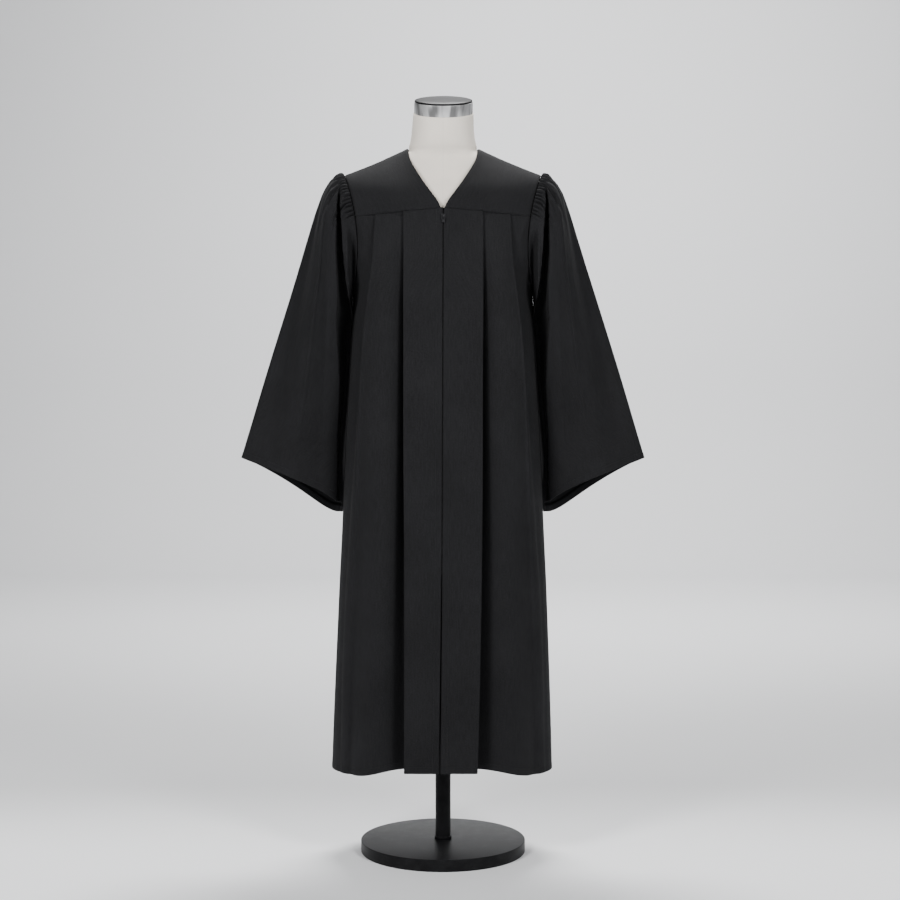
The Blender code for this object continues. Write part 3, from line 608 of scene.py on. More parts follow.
def at_distance(field, lengths, distance):
    """What a grid of values has in each column where its run length reaches a distance."""
    columns = range(field.shape[1])
    return np.array([[np.interp(distance, lengths[:, k], field[:, k, c]) for c in range(3)] for k in columns])


def turned_edge(grid, out, axis, last, depth, radius=0.0009):
    """Adds the cloth that is folded to the inside along an edge: round the edge, then flat behind it."""
    grid, out = np.moveaxis(grid, axis, 0), np.moveaxis(out, axis, 0)
    if last:
        grid, out = grid[::-1], out[::-1]
    lengths = run_lengths(grid, 0)
    way = unit(grid[2] - grid[0])
    normal = square_to(out[0], way)
    centre = grid[0] + way * radius - normal * radius
    added = []
    for share in (1, 0.66, 0.33):
        inside = at_distance(out, lengths, depth * share) * 2 * radius
        added.append(at_distance(grid, lengths, depth * share) - inside)
    for step in range(5):
        turn = math.pi * (1 - step / 4)
        added.append(centre + normal * radius * math.cos(turn) - way * radius * math.sin(turn))
    grid = np.concatenate([np.array(added), grid[1:]])
    out = np.concatenate([np.repeat(normal[None], len(added), axis=0), out[1:]])
    if last:
        grid, out = grid[::-1], out[::-1]
    return np.moveaxis(grid, 0, axis), np.moveaxis(out, 0, axis)


HEM_TURN = 0.0150
HEM_RADIUS = 0.0013
FACING_TURN = 0.0140

# Creases of a front, in metres from the centre: where each starts and ends, its half width and how
# far it rises, or falls below zero
Crease = namedtuple("Crease", "x_top z_top x_low z_low wide rise")
FRONT_CREASES = (
    Crease(0.172, 1.322, 0.157, 1.272, 0.0045, 0.0036),
    Crease(0.163, 1.324, 0.154, 1.290, 0.0040, -0.0026),
    Crease(0.100, 1.250, 0.108, 0.700, 0.0200, 0.0020),
    Crease(0.120, 1.200, 0.140, 0.420, 0.0180, -0.0022),
    Crease(0.030, 0.900, 0.034, 0.260, 0.0240, 0.0016),
    Crease(0.056, 1.100, 0.060, 0.300, 0.0160, -0.0012),
    Crease(0.190, 0.640, 0.200, 0.260, 0.0160, 0.0030),
    Crease(0.172, 0.660, 0.180, 0.240, 0.0180, -0.0024),
)


def crease_lift(grid, creases):
    """The rise that a table of creases gives each point, by its place seen from the front."""
    total = np.zeros(grid.shape[:2])
    x, z = np.abs(grid[..., 0]), grid[..., 2]
    for crease in creases:
        along = np.array([crease.x_low - crease.x_top, crease.z_low - crease.z_top])
        length = np.hypot(*along)
        along /= length
        t = ((x - crease.x_top) * along[0] + (z - crease.z_top) * along[1]) / length
        aside = (x - crease.x_top) * along[1] - (z - crease.z_top) * along[0]
        ends = smooth(-0.12, 0.28, t) * smooth(1.12, 0.66, t)
        total += crease.rise * bell(aside / (2 * crease.wide)) * ends
    return total


def slack(grid, seed, size=0.0011):
    """Soft unevenness of hanging cloth: a few long slow waves that no two panels share."""
    x, z = grid[..., 0], grid[..., 2]
    total = np.zeros(grid.shape[:2])
    for index in range(5):
        turn = seed * 1.7 + index * 2.3
        wave_x = 38 + 17 * index + 5 * math.sin(turn)
        wave_z = 4.0 + 3.1 * math.sin(turn * 1.3) + index
        total += np.sin(x * wave_x + z * wave_z + turn * 3.1) / (1 + 0.6 * index)
    return size * total / 2.5


def front_grid(left):
    grid = panel_grid(front_rows(left), PANEL_SPACING, 3)
    out = normals_of(grid)
    across = run_lengths(grid, 1)
    down = run_lengths(grid, 0)
    from_side = across[:, -1:] - across
    from_hem = down[-1:] - down
    free = smooth(0.0, 0.05, down) * smooth(0.0, 0.03, from_side) * smooth(0.0, 0.04, across)
    lift = (crease_lift(grid, FRONT_CREASES) + slack(grid, 1 if left else 2)) * free
    lift += edge_roll(down) + edge_roll(from_side)
    lift += stitched(from_hem, HEM_STITCHES) + stitched(across, ZIP_STITCHES)
    beside = np.exp(-(((from_hem - HEM_STITCHES) / HEM_PUCKER_WIDE) ** 2))
    lift += HEM_PUCKER * np.sin(across * 520) * beside
    grid = grid + out * lift[..., None]
    return handed(grid, left)


def front_cloth(left):
    """A front with its edge at the zip and its hem folded to the inside."""
    grid = front_grid(left)
    grid, out = turned_edge(grid, normals_of(grid), 1, left, FACING_TURN)
    return turned_edge(grid, out, 0, True, HEM_TURN, HEM_RADIUS)[0]


def back_grid():
    grid = panel_grid(back_rows(), BACK_SPACING, 2)[:, ::-1]
    out = normals_of(grid)
    across = run_lengths(grid, 1)
    down = run_lengths(grid, 0)
    from_side = np.minimum(across, across[:, -1:] - across)
    from_hem = down[-1:] - down
    free = smooth(0.0, 0.05, down) * smooth(0.0, 0.03, from_side)
    lift = (crease_lift(grid, FRONT_CREASES) * 0.8 + slack(grid, 3)) * free
    lift += edge_roll(down) + edge_roll(from_side) + stitched(from_hem, HEM_STITCHES)
    return grid + out * lift[..., None]


YOKE_STEPS = 56
ALLOWANCE = 0.0090
ALLOWANCE_BEHIND = 0.0021


def allowance(grid):
    """Adds the seam allowance that is pressed down behind the panel below."""
    out = normals_of(grid)[-1]
    added = [grid[-1] - out * ALLOWANCE_BEHIND - (0, 0, ALLOWANCE * share) for share in (0.1, 0.55, 1.0)]
    return np.concatenate([grid, np.array(added)])


def yoke_front_grid(left):
    steps = np.linspace(0, 1, YOKE_STEPS + 1)
    grid = np.array([[front_yoke_point(across, down) for across in steps] for down in steps])
    across, down = run_lengths(grid, 1), run_lengths(grid, 0)
    lift = edge_roll(down) + edge_roll(down[-1:] - down) + edge_roll(across[:, -1:] - across)
    lift += edge_roll(across, 0.0012, 0.0016) + slack(grid, 4 if left else 5, 0.0005)
    grid = allowance(grid + normals_of(grid) * lift[..., None])
    return handed(grid, left)


def yoke_back_grid():
    steps = np.linspace(0, 1, YOKE_STEPS + 1)
    half = np.array([[back_yoke_point(across, down) for across in steps] for down in steps])
    grid = np.concatenate([half[:, :0:-1], half * (-1, 1, 1)], axis=1)
    across, down = run_lengths(grid, 1), run_lengths(grid, 0)
    lift = edge_roll(down) + edge_roll(down[-1:] - down)
    lift += edge_roll(across[:, -1:] - across) + edge_roll(across) + slack(grid, 6, 0.0006)
    return allowance(grid + normals_of(grid) * lift[..., None])


# Sleeves

GATHERS_A_SIDE = 18
COLUMNS_A_GATHER = 6
PLAIN_COLUMNS = 32
GATHERS_OPEN_AT = 0.4
GATHERS_OPEN_ANGLE = 2.55
FLANK_GAP = 0.0013
LAYER_GAP = 0.004
WRAP = 0.027
WRAP_ANGLE = 2.92
WRAP_WIDE = 0.20
HUG = 0.013
HUG_ANGLE = 2.62
HUG_WIDE = 0.62
# Where each of these starts and ends, as shares of the way along the sleeve or as angles round it
WRAP_STARTS, WRAP_ENDS = (0.12, 0.22), (0.96, 0.78)
HUG_STARTS, HUG_ENDS = (0.05, 0.15), (0.75, 0.35)
INNER_ROUND, INNER_STARTS, INNER_ENDS = (2.68, 2.88), (0.10, 0.20), (1.3, 0.8)
CLEAR_ROUND, CLEAR_STARTS = (1.2, 1.9), (0.06, 0.14)
SLACK_STARTS, SLACK_ROUND = (0.05, 0.2), (2.8, 2.3)
ALONG_BANDS = ((0, 0.06, 0.0026), (0.06, 0.25, 0.0062), (0.25, 0.96, 0.0098), (0.96, 1, 0.0036))


def sleeve_angles(along):
    """The angles of one side's columns at each loop, from the outer edge to just before the inner."""
    last = mix(SEAM_ANGLE, GATHERS_OPEN_ANGLE, smooth(0, GATHERS_OPEN_AT, along))[:, None]
    gathered = np.arange(GATHERS_A_SIDE * COLUMNS_A_GATHER) / (GATHERS_A_SIDE * COLUMNS_A_GATHER)
    plain = np.arange(PLAIN_COLUMNS) / PLAIN_COLUMNS
    angles = np.concatenate([gathered * last, mix(last, math.pi, plain)], axis=1)
    shares = np.concatenate([gathered, 1 + plain])
    return angles, np.broadcast_to(shares, angles.shape)


def fold_rise(folds, angle, along):
    """The rise of some folds, with angle from 0 to 2 pi round the sleeve and a row for each loop."""
    total = np.zeros_like(angle)
    for rows, power, sharp in folds:
        _, middle, rise, wide = np.moveaxis(table_at(rows, "along", along), -1, 0)[..., None]
        rise = rise / 1000
        total += rise * crest((angle - middle) / wide, power, sharp)
        behind = 2 * math.pi - middle - BACK_FOLD_TURN
        total += BACK_FOLD_SHARE * rise * crest((angle - behind) / (1.2 * wide), power, sharp)
    return total


def gather_rise(share, along, seed):
    """The gathers: fine ones that the seam holds, and some that run on down the sleeve."""
    inside = smooth(1.05, 0.97, share)
    uneven = share + 0.008 * np.sin(share * 31 + seed) + 0.005 * np.sin(share * 67 + 2 * seed)
    fine = 2 * np.abs(np.cos(uneven * GATHERS_A_SIDE * math.pi)) - 1
    reach = 0.042 + 0.012 * np.sin(share * 23 + 3 * seed) + 0.008 * np.sin(share * 51 + seed)
    fine_rise = 0.0045 * fine * smooth(-0.006, 0.008, along) * smooth(1.0, 0.45, along / reach)
    broad = np.sin(uneven * 7.0 * 2 * math.pi + seed) + 0.5 * np.sin(uneven * 4.0 * 2 * math.pi)
    broad_reach = 0.11 + 0.05 * np.sin(share * 17 + seed)
    broad_rise = 0.0020 * broad * smooth(0.01, 0.04, along) * smooth(1.0, 0.2, along / broad_reach)
    return (fine_rise + broad_rise) * inside


def flank(y, z):
    """How far from the centre the body's side lies at a depth and a height."""
    rows = table_at(SECTIONS, "z", np.minimum(z, UNDERARM_Z) * 1000) / 1000
    names = Section._fields
    second_x, second_y, tuck, valley, bow, side = (
        rows[..., names.index(name)]
        for name in ("second_x", "second_y", "second_tuck", "second_valley", "side_bow", "side")
    )
    start = second_y + valley
    t = np.clip(1 - np.abs(y) / np.abs(start), 0, 1)
    return mix(second_x - tuck, side, t) + 4 * t * (1 - t) * bow


def sleeve_grid(left):
    """A sleeve as a closed tube of points. The left one has its own unevenness."""
    seed = 0.7 if left else 2.9
    along = banded(ALONG_BANDS)
    loops = table_at(LOOPS, "along", along)
    half_angles, half_shares = sleeve_angles(along)
    inner_edge = np.full((len(along), 1), math.pi)
    turned = np.concatenate([half_angles, inner_edge, 2 * math.pi - half_angles[:, :0:-1]], 1)
    shares = np.concatenate([half_shares, inner_edge * 0 + 2, half_shares[:, :0:-1]], 1)
    outer = loops[:, [1, 2]]
    inner = loops[:, [3, 4]]
    depth, dish = loops[:, 5:6], loops[:, 6:7]
    half = np.linalg.norm(outer - inner, axis=1, keepdims=True) / 2
    unit = (outer - inner) / (2 * half)
    middle = (outer + inner) / 2
    side, front = np.cos(turned) * half, np.sin(turned) * depth
    out = np.stack([np.cos(turned) / half, np.sin(turned) / depth], -1)
    out /= np.linalg.norm(out, axis=-1, keepdims=True)
    way = along[:, None]
    rise = fold_rise(FOLDS, turned, along) + gather_rise(shares, way, seed + (turned > math.pi) * 1.3)
    side = side + out[..., 0] * rise
    pressed = np.abs(front) + fold_rise(STRAIGHT_FOLDS, turned, along)
    inward = np.minimum(turned, 2 * math.pi - turned)
    pressed = np.maximum(pressed, np.minimum(np.abs(front), LAYER_GAP))
    wrapped = WRAP * bell((inward - WRAP_ANGLE) / WRAP_WIDE, 1.0)
    wrapped = wrapped * smooth(*WRAP_STARTS, way) * smooth(*WRAP_ENDS, way)
    front = np.sign(front) * np.maximum(pressed, wrapped) + out[..., 1] * rise
    x = middle[:, :1] + unit[:, :1] * side - dish * np.sin(turned) ** 2
    z = middle[:, 1:] + unit[:, 1:] * side
    lift = CUFF_LIFT_FRONT * np.sin(turned) * (1 - 0.6 * np.cos(turned))
    drop = CUFF_DROP_BACK * np.sin(turned) * (1 - np.cos(turned)) ** 2
    z = z + np.where(turned < math.pi, lift, drop) * way ** 2
    hug = HUG * bell((inward - HUG_ANGLE) / HUG_WIDE)
    x = x - hug * smooth(*HUG_STARTS, way) * smooth(*HUG_ENDS, way)
    beside = flank(front, z) + FLANK_GAP
    held = smooth(*INNER_ROUND, inward) * smooth(*INNER_STARTS, way) * smooth(*INNER_ENDS, way)
    x = mix(x, beside, held)
    x = np.maximum(x, mix(x, beside, smooth(*CLEAR_ROUND, inward) * smooth(*CLEAR_STARTS, way)))
    grid = np.stack([x, -front, z], -1)[:, ::-1]
    down = run_lengths(grid, 0)
    fine = edge_roll(down, 0.0007, 0.0018) + stitched(down[-1:] - down, HEM_STITCHES)
    loose = smooth(*SLACK_STARTS, way) * smooth(*SLACK_ROUND, inward[:, ::-1])
    fine += slack(grid, 7 if left else 8, 0.0009) * loose
    grid = grid + normals_of(grid, closed=True) * fine[..., None]
    return handed(grid, left)


def form_grid():
    """The dress form's torso and neck, up to its tilted top."""
    heights = np.concatenate([np.linspace(a.z, b.z, 6)[:-1] for a, b in zip(FORM_ROWS, FORM_ROWS[1:])])
    rows = table_at(FORM_ROWS, "z", np.append(heights, FORM_ROWS[-1].z))
    turn = 2 * math.pi * np.arange(FORM_SIDES) / FORM_SIDES
    c, s = np.cos(turn), np.sin(turn)
    power = 2 / rows[:, 5:6]
    depth = np.where(s < 0, rows[:, 2:3], rows[:, 3:4])
    x = np.sign(c) * np.abs(c) ** power * rows[:, 1:2]
    y = rows[:, 4:5] + np.sign(s) * np.abs(s) ** power * depth
    body = np.stack([x, y, np.broadcast_to(rows[:, :1], x.shape)], -1)
    top = RING_HEIGHT / 2 + STAND_GAP
    deep = np.sin(turn) * NECK_TOP_DEEP
    neck_y = RING_CENTRE[1] + math.sin(NECK_TILT) * top + deep * math.cos(NECK_TILT)
    neck_z = RING_CENTRE[2] - math.cos(NECK_TILT) * top + deep * math.sin(NECK_TILT)
    neck = np.stack([np.cos(turn) * NECK_TOP_WIDE + RING_CENTRE[0], neck_y, neck_z], -1)
    rise = np.linspace(0, 1, 13)[1:, None, None]
    return np.concatenate([body, mix(body[-1:], neck[None], rise)])[::-1]


# Meshes


def mesh_of(shape, name):
    mesh = bpy.data.meshes.new(name)
    shape.to_mesh(mesh)
    shape.free()
    mesh.shade_smooth()
    return mesh


def grid_mesh(name, grid, closed=False):
    """A mesh over a grid of points, with a UV map in metres along the cloth."""
    if closed:
        grid = np.concatenate([grid, grid[:, :1]], axis=1)
    rows, columns = grid.shape[:2]
    shape = bmesh.new()
    bmesh.ops.create_grid(shape, x_segments=columns - 1, y_segments=rows - 1, size=1)
    mesh = mesh_of(shape, name)
    flat = np.empty(len(mesh.vertices) * 3)
    mesh.vertices.foreach_get("co", flat)
    place = flat.reshape(-1, 3)
    column = np.rint((place[:, 0] + 1) / 2 * (columns - 1)).astype(int)
    row = np.rint((1 - place[:, 1]) / 2 * (rows - 1)).astype(int)
    mesh.vertices.foreach_set("co", grid[row, column].ravel())
    across, down = run_lengths(grid, 1), run_lengths(grid, 0)
    across -= across[:, -1:] / 2
    corner = np.empty(len(mesh.loops), np.int32)
    mesh.loops.foreach_get("vertex_index", corner)
    uv = mesh.uv_layers.new(name="Cloth")
    uv.data.foreach_set("uv", np.stack([across[row, column], -down[row, column]], -1)[corner].ravel())
    if closed:
        shape = bmesh.new()
        shape.from_mesh(mesh)
        bmesh.ops.remove_doubles(shape, verts=shape.verts, dist=0.000001)
        shape.to_mesh(mesh)
        shape.free()
    mesh.update()
    return mesh


def add_piece(name, mesh, look, nodes=(), body=BODY):
    """Puts a finished mesh in the scene, on its body, in the place of the nodes that it stands for."""
    piece = bpy.data.objects.new(name, mesh)
    bpy.context.scene.collection.objects.link(piece)
    mesh.materials.clear()
    mesh.materials.append(look)
    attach(piece, body)
    if nodes:
        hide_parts(*nodes)
    return piece


def add_wall(piece, thickness):
    shell = piece.modifiers.new("Wall", "SOLIDIFY")
    shell.thickness = thickness
    shell.offset = 0
    shell.use_quality_normals = True


def add_bevel(piece, width):
    rounded = piece.modifiers.new("Edges", "BEVEL")
    rounded.width = width
    rounded.segments = 2
    rounded.limit_method = "ANGLE"
    rounded.angle_limit = math.radians(40)
    rounded.harden_normals = True


def turned_mesh(name, profile, sides=128, round_edges=0.0):
    """A body turned about +Z from a profile of radius and height, its sharp rims rounded."""
    shape = bmesh.new()
    corners = [shape.verts.new((radius, 0, height)) for radius, height in profile]
    edges = [shape.edges.new(pair) for pair in zip(corners, corners[1:])]
    bmesh.ops.spin(
        shape, geom=corners + edges, axis=(0, 0, 1), cent=(0, 0, 0),
        angle=2 * math.pi, steps=sides, use_merge=True,
    )
    bmesh.ops.remove_doubles(shape, verts=shape.verts, dist=0.000002)
    if round_edges:
        rims = [e for e in shape.edges if len(e.link_faces) == 2 and e.calc_face_angle(0) > math.radians(35)]
        bmesh.ops.bevel(
            shape, geom=rims, offset=round_edges, segments=3, profile=0.5, affect="EDGES", material=-1,
            offset_type="OFFSET", clamp_overlap=True,
        )
    bmesh.ops.recalc_face_normals(shape, faces=shape.faces)
    return mesh_of(shape, name)


STITCH_PITCH = 0.0030
STITCH_LENGTH = 0.0023
STITCH_THICK = 0.0005
STITCH_STAND = 0.00055


def points_of(shape):
    """The corners and faces of a small shape, which is freed."""
    shape.verts.index_update()
    points = np.array([v.co[:] for v in shape.verts])
    faces = [[v.index for v in face.verts] for face in shape.faces]
    shape.free()
    return points, faces


def stitch_points():
    """The corners and faces of one stitch: a short thread, fuller in its middle, sunk at its ends."""
    length, thick = STITCH_LENGTH, STITCH_THICK
    shape = bmesh.new()
    bmesh.ops.create_cone(
        shape, cap_ends=True, segments=5, radius1=thick * 0.5, radius2=thick * 0.5, depth=length,
        matrix=Matrix.Rotation(math.pi / 2, 4, "Y"),
    )
    middle = [e for e in shape.edges if abs(e.verts[0].co.x - e.verts[1].co.x) > length / 2]
    bmesh.ops.subdivide_edges(shape, edges=middle, cuts=2)
    for corner in shape.verts:
        if abs(corner.co.x) > length * 0.4:
            corner.co.z -= thick * 0.45
            corner.co.y *= 0.7
        else:
            corner.co.z += thick * 0.10
    return points_of(shape)


def repeated_mesh(name, points, faces, places, ways, outs):
    """Copies of one small shape along a line: its +X lies on each way and its +Z on each outward normal."""
    sides = np.cross(outs, ways)
    turns = np.stack([ways, sides, outs], axis=1)
    all_points = np.einsum("kc,nci->nki", points, turns) + places[:, None]
    mesh = bpy.data.meshes.new(name)
    made = []
    for index in range(len(places)):
        first = index * len(points)
        made += [[first + corner for corner in face] for face in faces]
    mesh.from_pydata(all_points.reshape(-1, 3), [], made)
    mesh.shade_smooth()
    return mesh


def stitch_mesh(name, line, out):
    """A row of stitches along a line of points that lies on the cloth."""
    lengths = np.concatenate([[0], np.cumsum(np.linalg.norm(np.diff(line, axis=0), axis=1))])
    last = lengths[-1] - STITCH_PITCH / 2
    at = np.arange(STITCH_PITCH, last, STITCH_PITCH)
    place = np.stack([np.interp(at, lengths, line[:, k]) for k in range(3)], 1)
    ahead = np.stack([np.interp(at + 0.001, lengths, line[:, k]) for k in range(3)], 1)
    normal = np.stack([np.interp(at, lengths, out[:, k]) for k in range(3)], 1)
    ways = unit(ahead - place)
    normal = square_to(normal, ways)
    points, faces = stitch_points()
    return repeated_mesh(name, points, faces, place + normal * STITCH_STAND, ways, normal)


def line_at(grid, distance, axis, from_end=False):
    """The line of a grid that lies a distance from its first or last row (axis 0) or column (axis 1)."""
    lengths = run_lengths(grid, axis)
    if from_end:
        lengths = np.take(lengths, [-1], axis=axis) - lengths
        grid, lengths = np.flip(grid, axis), np.flip(lengths, axis)
    if axis == 1:
        grid, lengths = grid.transpose(1, 0, 2), lengths.T
    return at_distance(grid, lengths, distance)


def stitch_along(name, grid, distance, axis, from_end, look, closed=False):
    """A row of stitches on a grid at a distance from one of its edges."""
    line = line_at(grid, distance, axis, from_end)
    out = line_at(normals_of(grid, closed), distance, axis, from_end)
    if closed:
        line, out = np.concatenate([line, line[:1]]), np.concatenate([out, out[:1]])
    add_piece(name, stitch_mesh(name, line, out), look)


# Materials


class Value:
    """A socket in a shader expression. Each operator adds its Math node."""

    def __init__(self, finish, socket):
        self.finish = finish
        self.socket = socket

    def maths(self, operation, first, second=0.0):
        return self.finish.node("ShaderNodeMath", {"operation": operation}, {0: first, 1: second})

    def __add__(self, other):
        return self.maths("ADD", self, other)

    def __sub__(self, other):
        return self.maths("SUBTRACT", self, other)

    def __rsub__(self, other):
        return self.maths("SUBTRACT", other, self)

    def __mul__(self, other):
        return self.maths("MULTIPLY", self, other)

    __radd__ = __add__
    __rmul__ = __mul__

    def sine(self):
        return self.maths("SINE", self)

    def waves(self, pitch):
        """A wave from -1 to 1 with its crests a pitch apart."""
        return (self * (2 * math.pi / pitch)).sine()

    def within(self, low, high):
        """0 below low and 1 above high."""
        settings = {"interpolation_type": "SMOOTHSTEP"}
        sockets = {"Value": self, "From Min": low, "From Max": high}
        return self.finish.node("ShaderNodeMapRange", settings, sockets)


class Finish:
    """A material and the one way in which its nodes are added."""

    def __init__(self, name, **constants):
        self.material = bpy.data.materials.new(name)
        self.material.use_nodes = True
        self.tree = self.material.node_tree
        self.shader = self.tree.nodes["Principled BSDF"]
        for socket, value in constants.items():
            self.shader.inputs[socket.replace("_", " ")].default_value = value

    def node(self, kind, settings=None, sockets=None, output=0):
        made = self.tree.nodes.new(kind)
        for setting, value in (settings or {}).items():
            if setting == "stops":
                for index, (place, shade) in enumerate(value):
                    ramp = made.color_ramp.elements
                    stop = ramp[index] if index < len(ramp) else ramp.new(place)
                    stop.position = place
                    stop.color = (*shade, 1)
            else:
                setattr(made, setting, value)
        for socket, value in (sockets or {}).items():
            self.put(made.inputs[socket], value)
        return Value(self, made.outputs[output])

    def put(self, socket, value):
        if isinstance(value, Value):
            self.tree.links.new(value.socket, socket)
        else:
            socket.default_value = value

    def shade(self, **links):
        for socket, value in links.items():
            self.put(self.shader.inputs[socket.replace("_", " ")], value)

    def cloth_place(self):
        return self.node("ShaderNodeUVMap", {"uv_map": "Cloth"})

    def place(self):
        return self.node("ShaderNodeTexCoord", output=3)

    def parts(self, vector):
        split = self.node("ShaderNodeSeparateXYZ", None, {0: vector})
        return [Value(self, split.socket.node.outputs[k]) for k in range(3)]

    def scaled(self, vector, scale, turn=0.0):
        sockets = {"Vector": vector, "Scale": scale, "Rotation": (0, 0, turn)}
        return self.node("ShaderNodeMapping", None, sockets)

    def noise(self, vector, scale, detail, roughness):
        sockets = {"Vector": vector, "Scale": scale, "Detail": detail, "Roughness": roughness}
        return self.node("ShaderNodeTexNoise", None, sockets)

    def colours(self, factor, first, second):
        sockets = {0: factor, 6: (*first, 1), 7: (*second, 1)}
        return self.node("ShaderNodeMix", {"data_type": "RGBA"}, sockets, 2)

    def bump(self, height, distance, strength):
        sockets = {"Height": height, "Distance": distance, "Strength": strength}
        return self.node("ShaderNodeBump", None, sockets)


TWILL_PITCH = 0.00085
THREAD_PITCH = TWILL_PITCH * 0.62
KNIT_PITCH = (0.0014, 0.0011)
TWIST_PITCH = 0.0006


def times(colour, share):
    return [c * share for c in colour]


def gown_twill(colour, name):
    """Matt black twill: fine diagonal ribs, crossed threads and a slightly uneven dye."""
    cloth = Finish(name, Sheen_Weight=0.02, Sheen_Roughness=0.5, Specular_IOR_Level=0.08)
    u, v, _ = cloth.parts(cloth.cloth_place())
    ribs = (u + v * 1.25).waves(TWILL_PITCH)
    threads = u.waves(THREAD_PITCH) * v.waves(THREAD_PITCH)
    place = cloth.cloth_place()
    fleck = cloth.noise(cloth.scaled(place, (1, 1, 1), 0.67), 340, 3.0, 0.65)
    streak = cloth.noise(cloth.scaled(place, (9, 0.9, 1)), 42, 3.0, 0.6)
    dye = cloth.noise(place, 7.5, 3.0, 0.5)
    tone = fleck * 0.46 + streak * 0.30 + dye * 0.24 + ribs * 0.05
    height = ribs * 0.55 + threads * 0.35 + fleck * 0.9
    dark, light = times(colour, 0.66), times(colour, 1.34)
    cloth.shade(
        Base_Color=cloth.colours(tone.within(0.30, 0.70), dark, light),
        Roughness=0.74 + fleck * 0.14,
        Normal=cloth.bump(height, 0.00007, 0.8),
    )
    return cloth.material


def jersey(colour, name):
    """The dress form's pale cover: a fine knit over padding, with a faint centre seam."""
    cover = Finish(name, Sheen_Weight=0.12, Sheen_Roughness=0.5, Specular_IOR_Level=0.3)
    place = cover.place()
    x, y, z = cover.parts(place)
    stitches = z.waves(KNIT_PITCH[1]) * (x + y * 0.4).waves(KNIT_PITCH[0])
    cloud = cover.noise(place, 26, 3.0, 0.5)
    grain = cover.noise(place, 900, 2.0, 0.6)
    seam = 1 - (x * x * 400000).within(0.0, 0.9)
    dark = times(colour, 0.90)
    tone = cloud * 0.5 + grain * 0.5
    cover.shade(
        Base_Color=cover.colours(tone.within(0.25, 0.75) * (1 - seam * 0.55), dark, colour),
        Roughness=0.82 + grain * 0.12,
        Normal=cover.bump(stitches * 0.3 + grain * 0.7 + seam * -3.0, 0.00012, 0.7),
    )
    return cover.material


def brushed_chrome(colour, name):
    """A bright band, brushed round, with soft upright streaks of painted reflection in its colour."""
    band = Finish(name, Metallic=0.85)
    place = band.place()
    lines = band.noise(band.scaled(place, (0.02, 0.02, 1)), 5200, 2.0, 0.5)
    painted_reflection_streaks = band.noise(band.scaled(place, (1, 1, 0.05)), 42, 2.0, 0.5)
    # Painted reflection: soft upright streaks darken the colour, standing in for the dark bands that the ring
    # would mirror.
    dark = times(colour, 0.22)
    band.shade(
        Base_Color=band.colours(painted_reflection_streaks.within(0.38, 0.58) * 0.86 + lines * 0.14, dark, colour),
        Roughness=0.34 + lines * 0.10,
        Normal=band.bump(lines, 0.00002, 0.5),
    )
    return band.material


def powder_coat(colour, name):
    """Satin black powder coat on steel, with its fine peel and a little dust."""
    coat = Finish(name, Specular_IOR_Level=0.08)
    place = coat.place()
    peel = coat.noise(place, 620, 2.0, 0.5)
    dust = coat.noise(place, 38, 4.0, 0.6)
    pale = [c * 1.5 + 0.004 for c in colour]
    coat.shade(
        Base_Color=coat.colours(dust.within(0.40, 0.80), colour, pale),
        Roughness=0.30 + dust * 0.14 + peel * 0.05,
        Normal=coat.bump(peel, 0.00006, 0.35),
    )
    return coat.material


def thread(colour, name):
    """Spun thread, with its twist."""
    yarn = Finish(name, Sheen_Weight=0.06, Sheen_Roughness=0.4, Specular_IOR_Level=0.25)
    place = yarn.place()
    x, y, z = yarn.parts(place)
    twist = (x + y + z).waves(TWIST_PITCH)
    fibre = yarn.noise(place, 1500, 2.0, 0.6)
    light = times(colour, 1.5)
    yarn.shade(
        Base_Color=yarn.colours(fibre, colour, light),
        Roughness=0.6 + fibre * 0.2,
        Normal=yarn.bump(twist * 0.5 + fibre, 0.00005, 0.6),
    )
    return yarn.material


def enamel(colour, name):
    """Black enamel on the zip's metal, worn a little brighter at random."""
    paint = Finish(name, Metallic=0.55)
    place = paint.place()
    wear = paint.noise(place, 700, 3.0, 0.6)
    bare = times(colour, 8.0)
    paint.shade(
        Base_Color=paint.colours(wear.within(0.62, 0.80), colour, bare),
        Roughness=0.30 + wear * 0.2,
        Normal=paint.bump(wear, 0.00002, 0.4),
    )
    return paint.material


def paper_with_painted_light(colour, name):
    """The studio's seamless paper, with the faintest mottle and painted light: a painted shadow band on the
    floor behind the gown and painted shade high on the backdrop.
    """
    paper = Finish(name, Specular_IOR_Level=0.15)
    place = paper.place()
    mottle = paper.noise(place, 1.3, 3.0, 0.5)
    _, deep, high = paper.parts(place)
    dark = times(colour, 0.60)
    # Painted light: full colour on the near floor, a painted shadow band on the floor just behind the gown,
    # the far floor and backdrop partly lighter again, and painted shade towards the backdrop's top. Only the
    # mottle is the paper's own.
    painted_sweep_shade = deep.within(-0.10, 0.70)
    tone = 1 - painted_sweep_shade + deep.within(0.9, 3.6) * 0.42 - high.within(1.0, 2.6) * 0.1 - mottle * 0.06
    paper.shade(Base_Color=paper.colours(tone, dark, colour), Roughness=0.9 + mottle * 0.05)
    return paper.material


# The settings that a user would change


def colour_setting(name, description, default):
    return FloatVectorProperty(
        name=name, description=description, default=default, size=3, subtype="COLOR", min=0, max=1
    )


def length_setting(name, description, default, least, most):
    return FloatProperty(
        name=name, description=description, default=default, unit="LENGTH", min=least, max=most
    )


def power_setting(name, description, default):
    return FloatProperty(name=name, description=description, default=default, unit="POWER", min=0)


class GownCloth(bpy.types.PropertyGroup):
    """The gown's cloth."""

    colour: colour_setting("Cloth colour", "Base colour of the gown", (0.0135, 0.0135, 0.0146))
    wall: length_setting("Cloth thickness", "Thickness of the cloth", 0.0009, 0.0003, 0.002)
    thread_colour: colour_setting("Thread colour", "Base colour of the sewing", (0.0110, 0.0110, 0.0120))
    tape_colour: colour_setting("Tape colour", "Base colour of the tapes and teeth", (0.0028, 0.0028, 0.0030))
    metal_colour: colour_setting("Metal colour", "Base colour of slider and pull", (0.024, 0.024, 0.026))


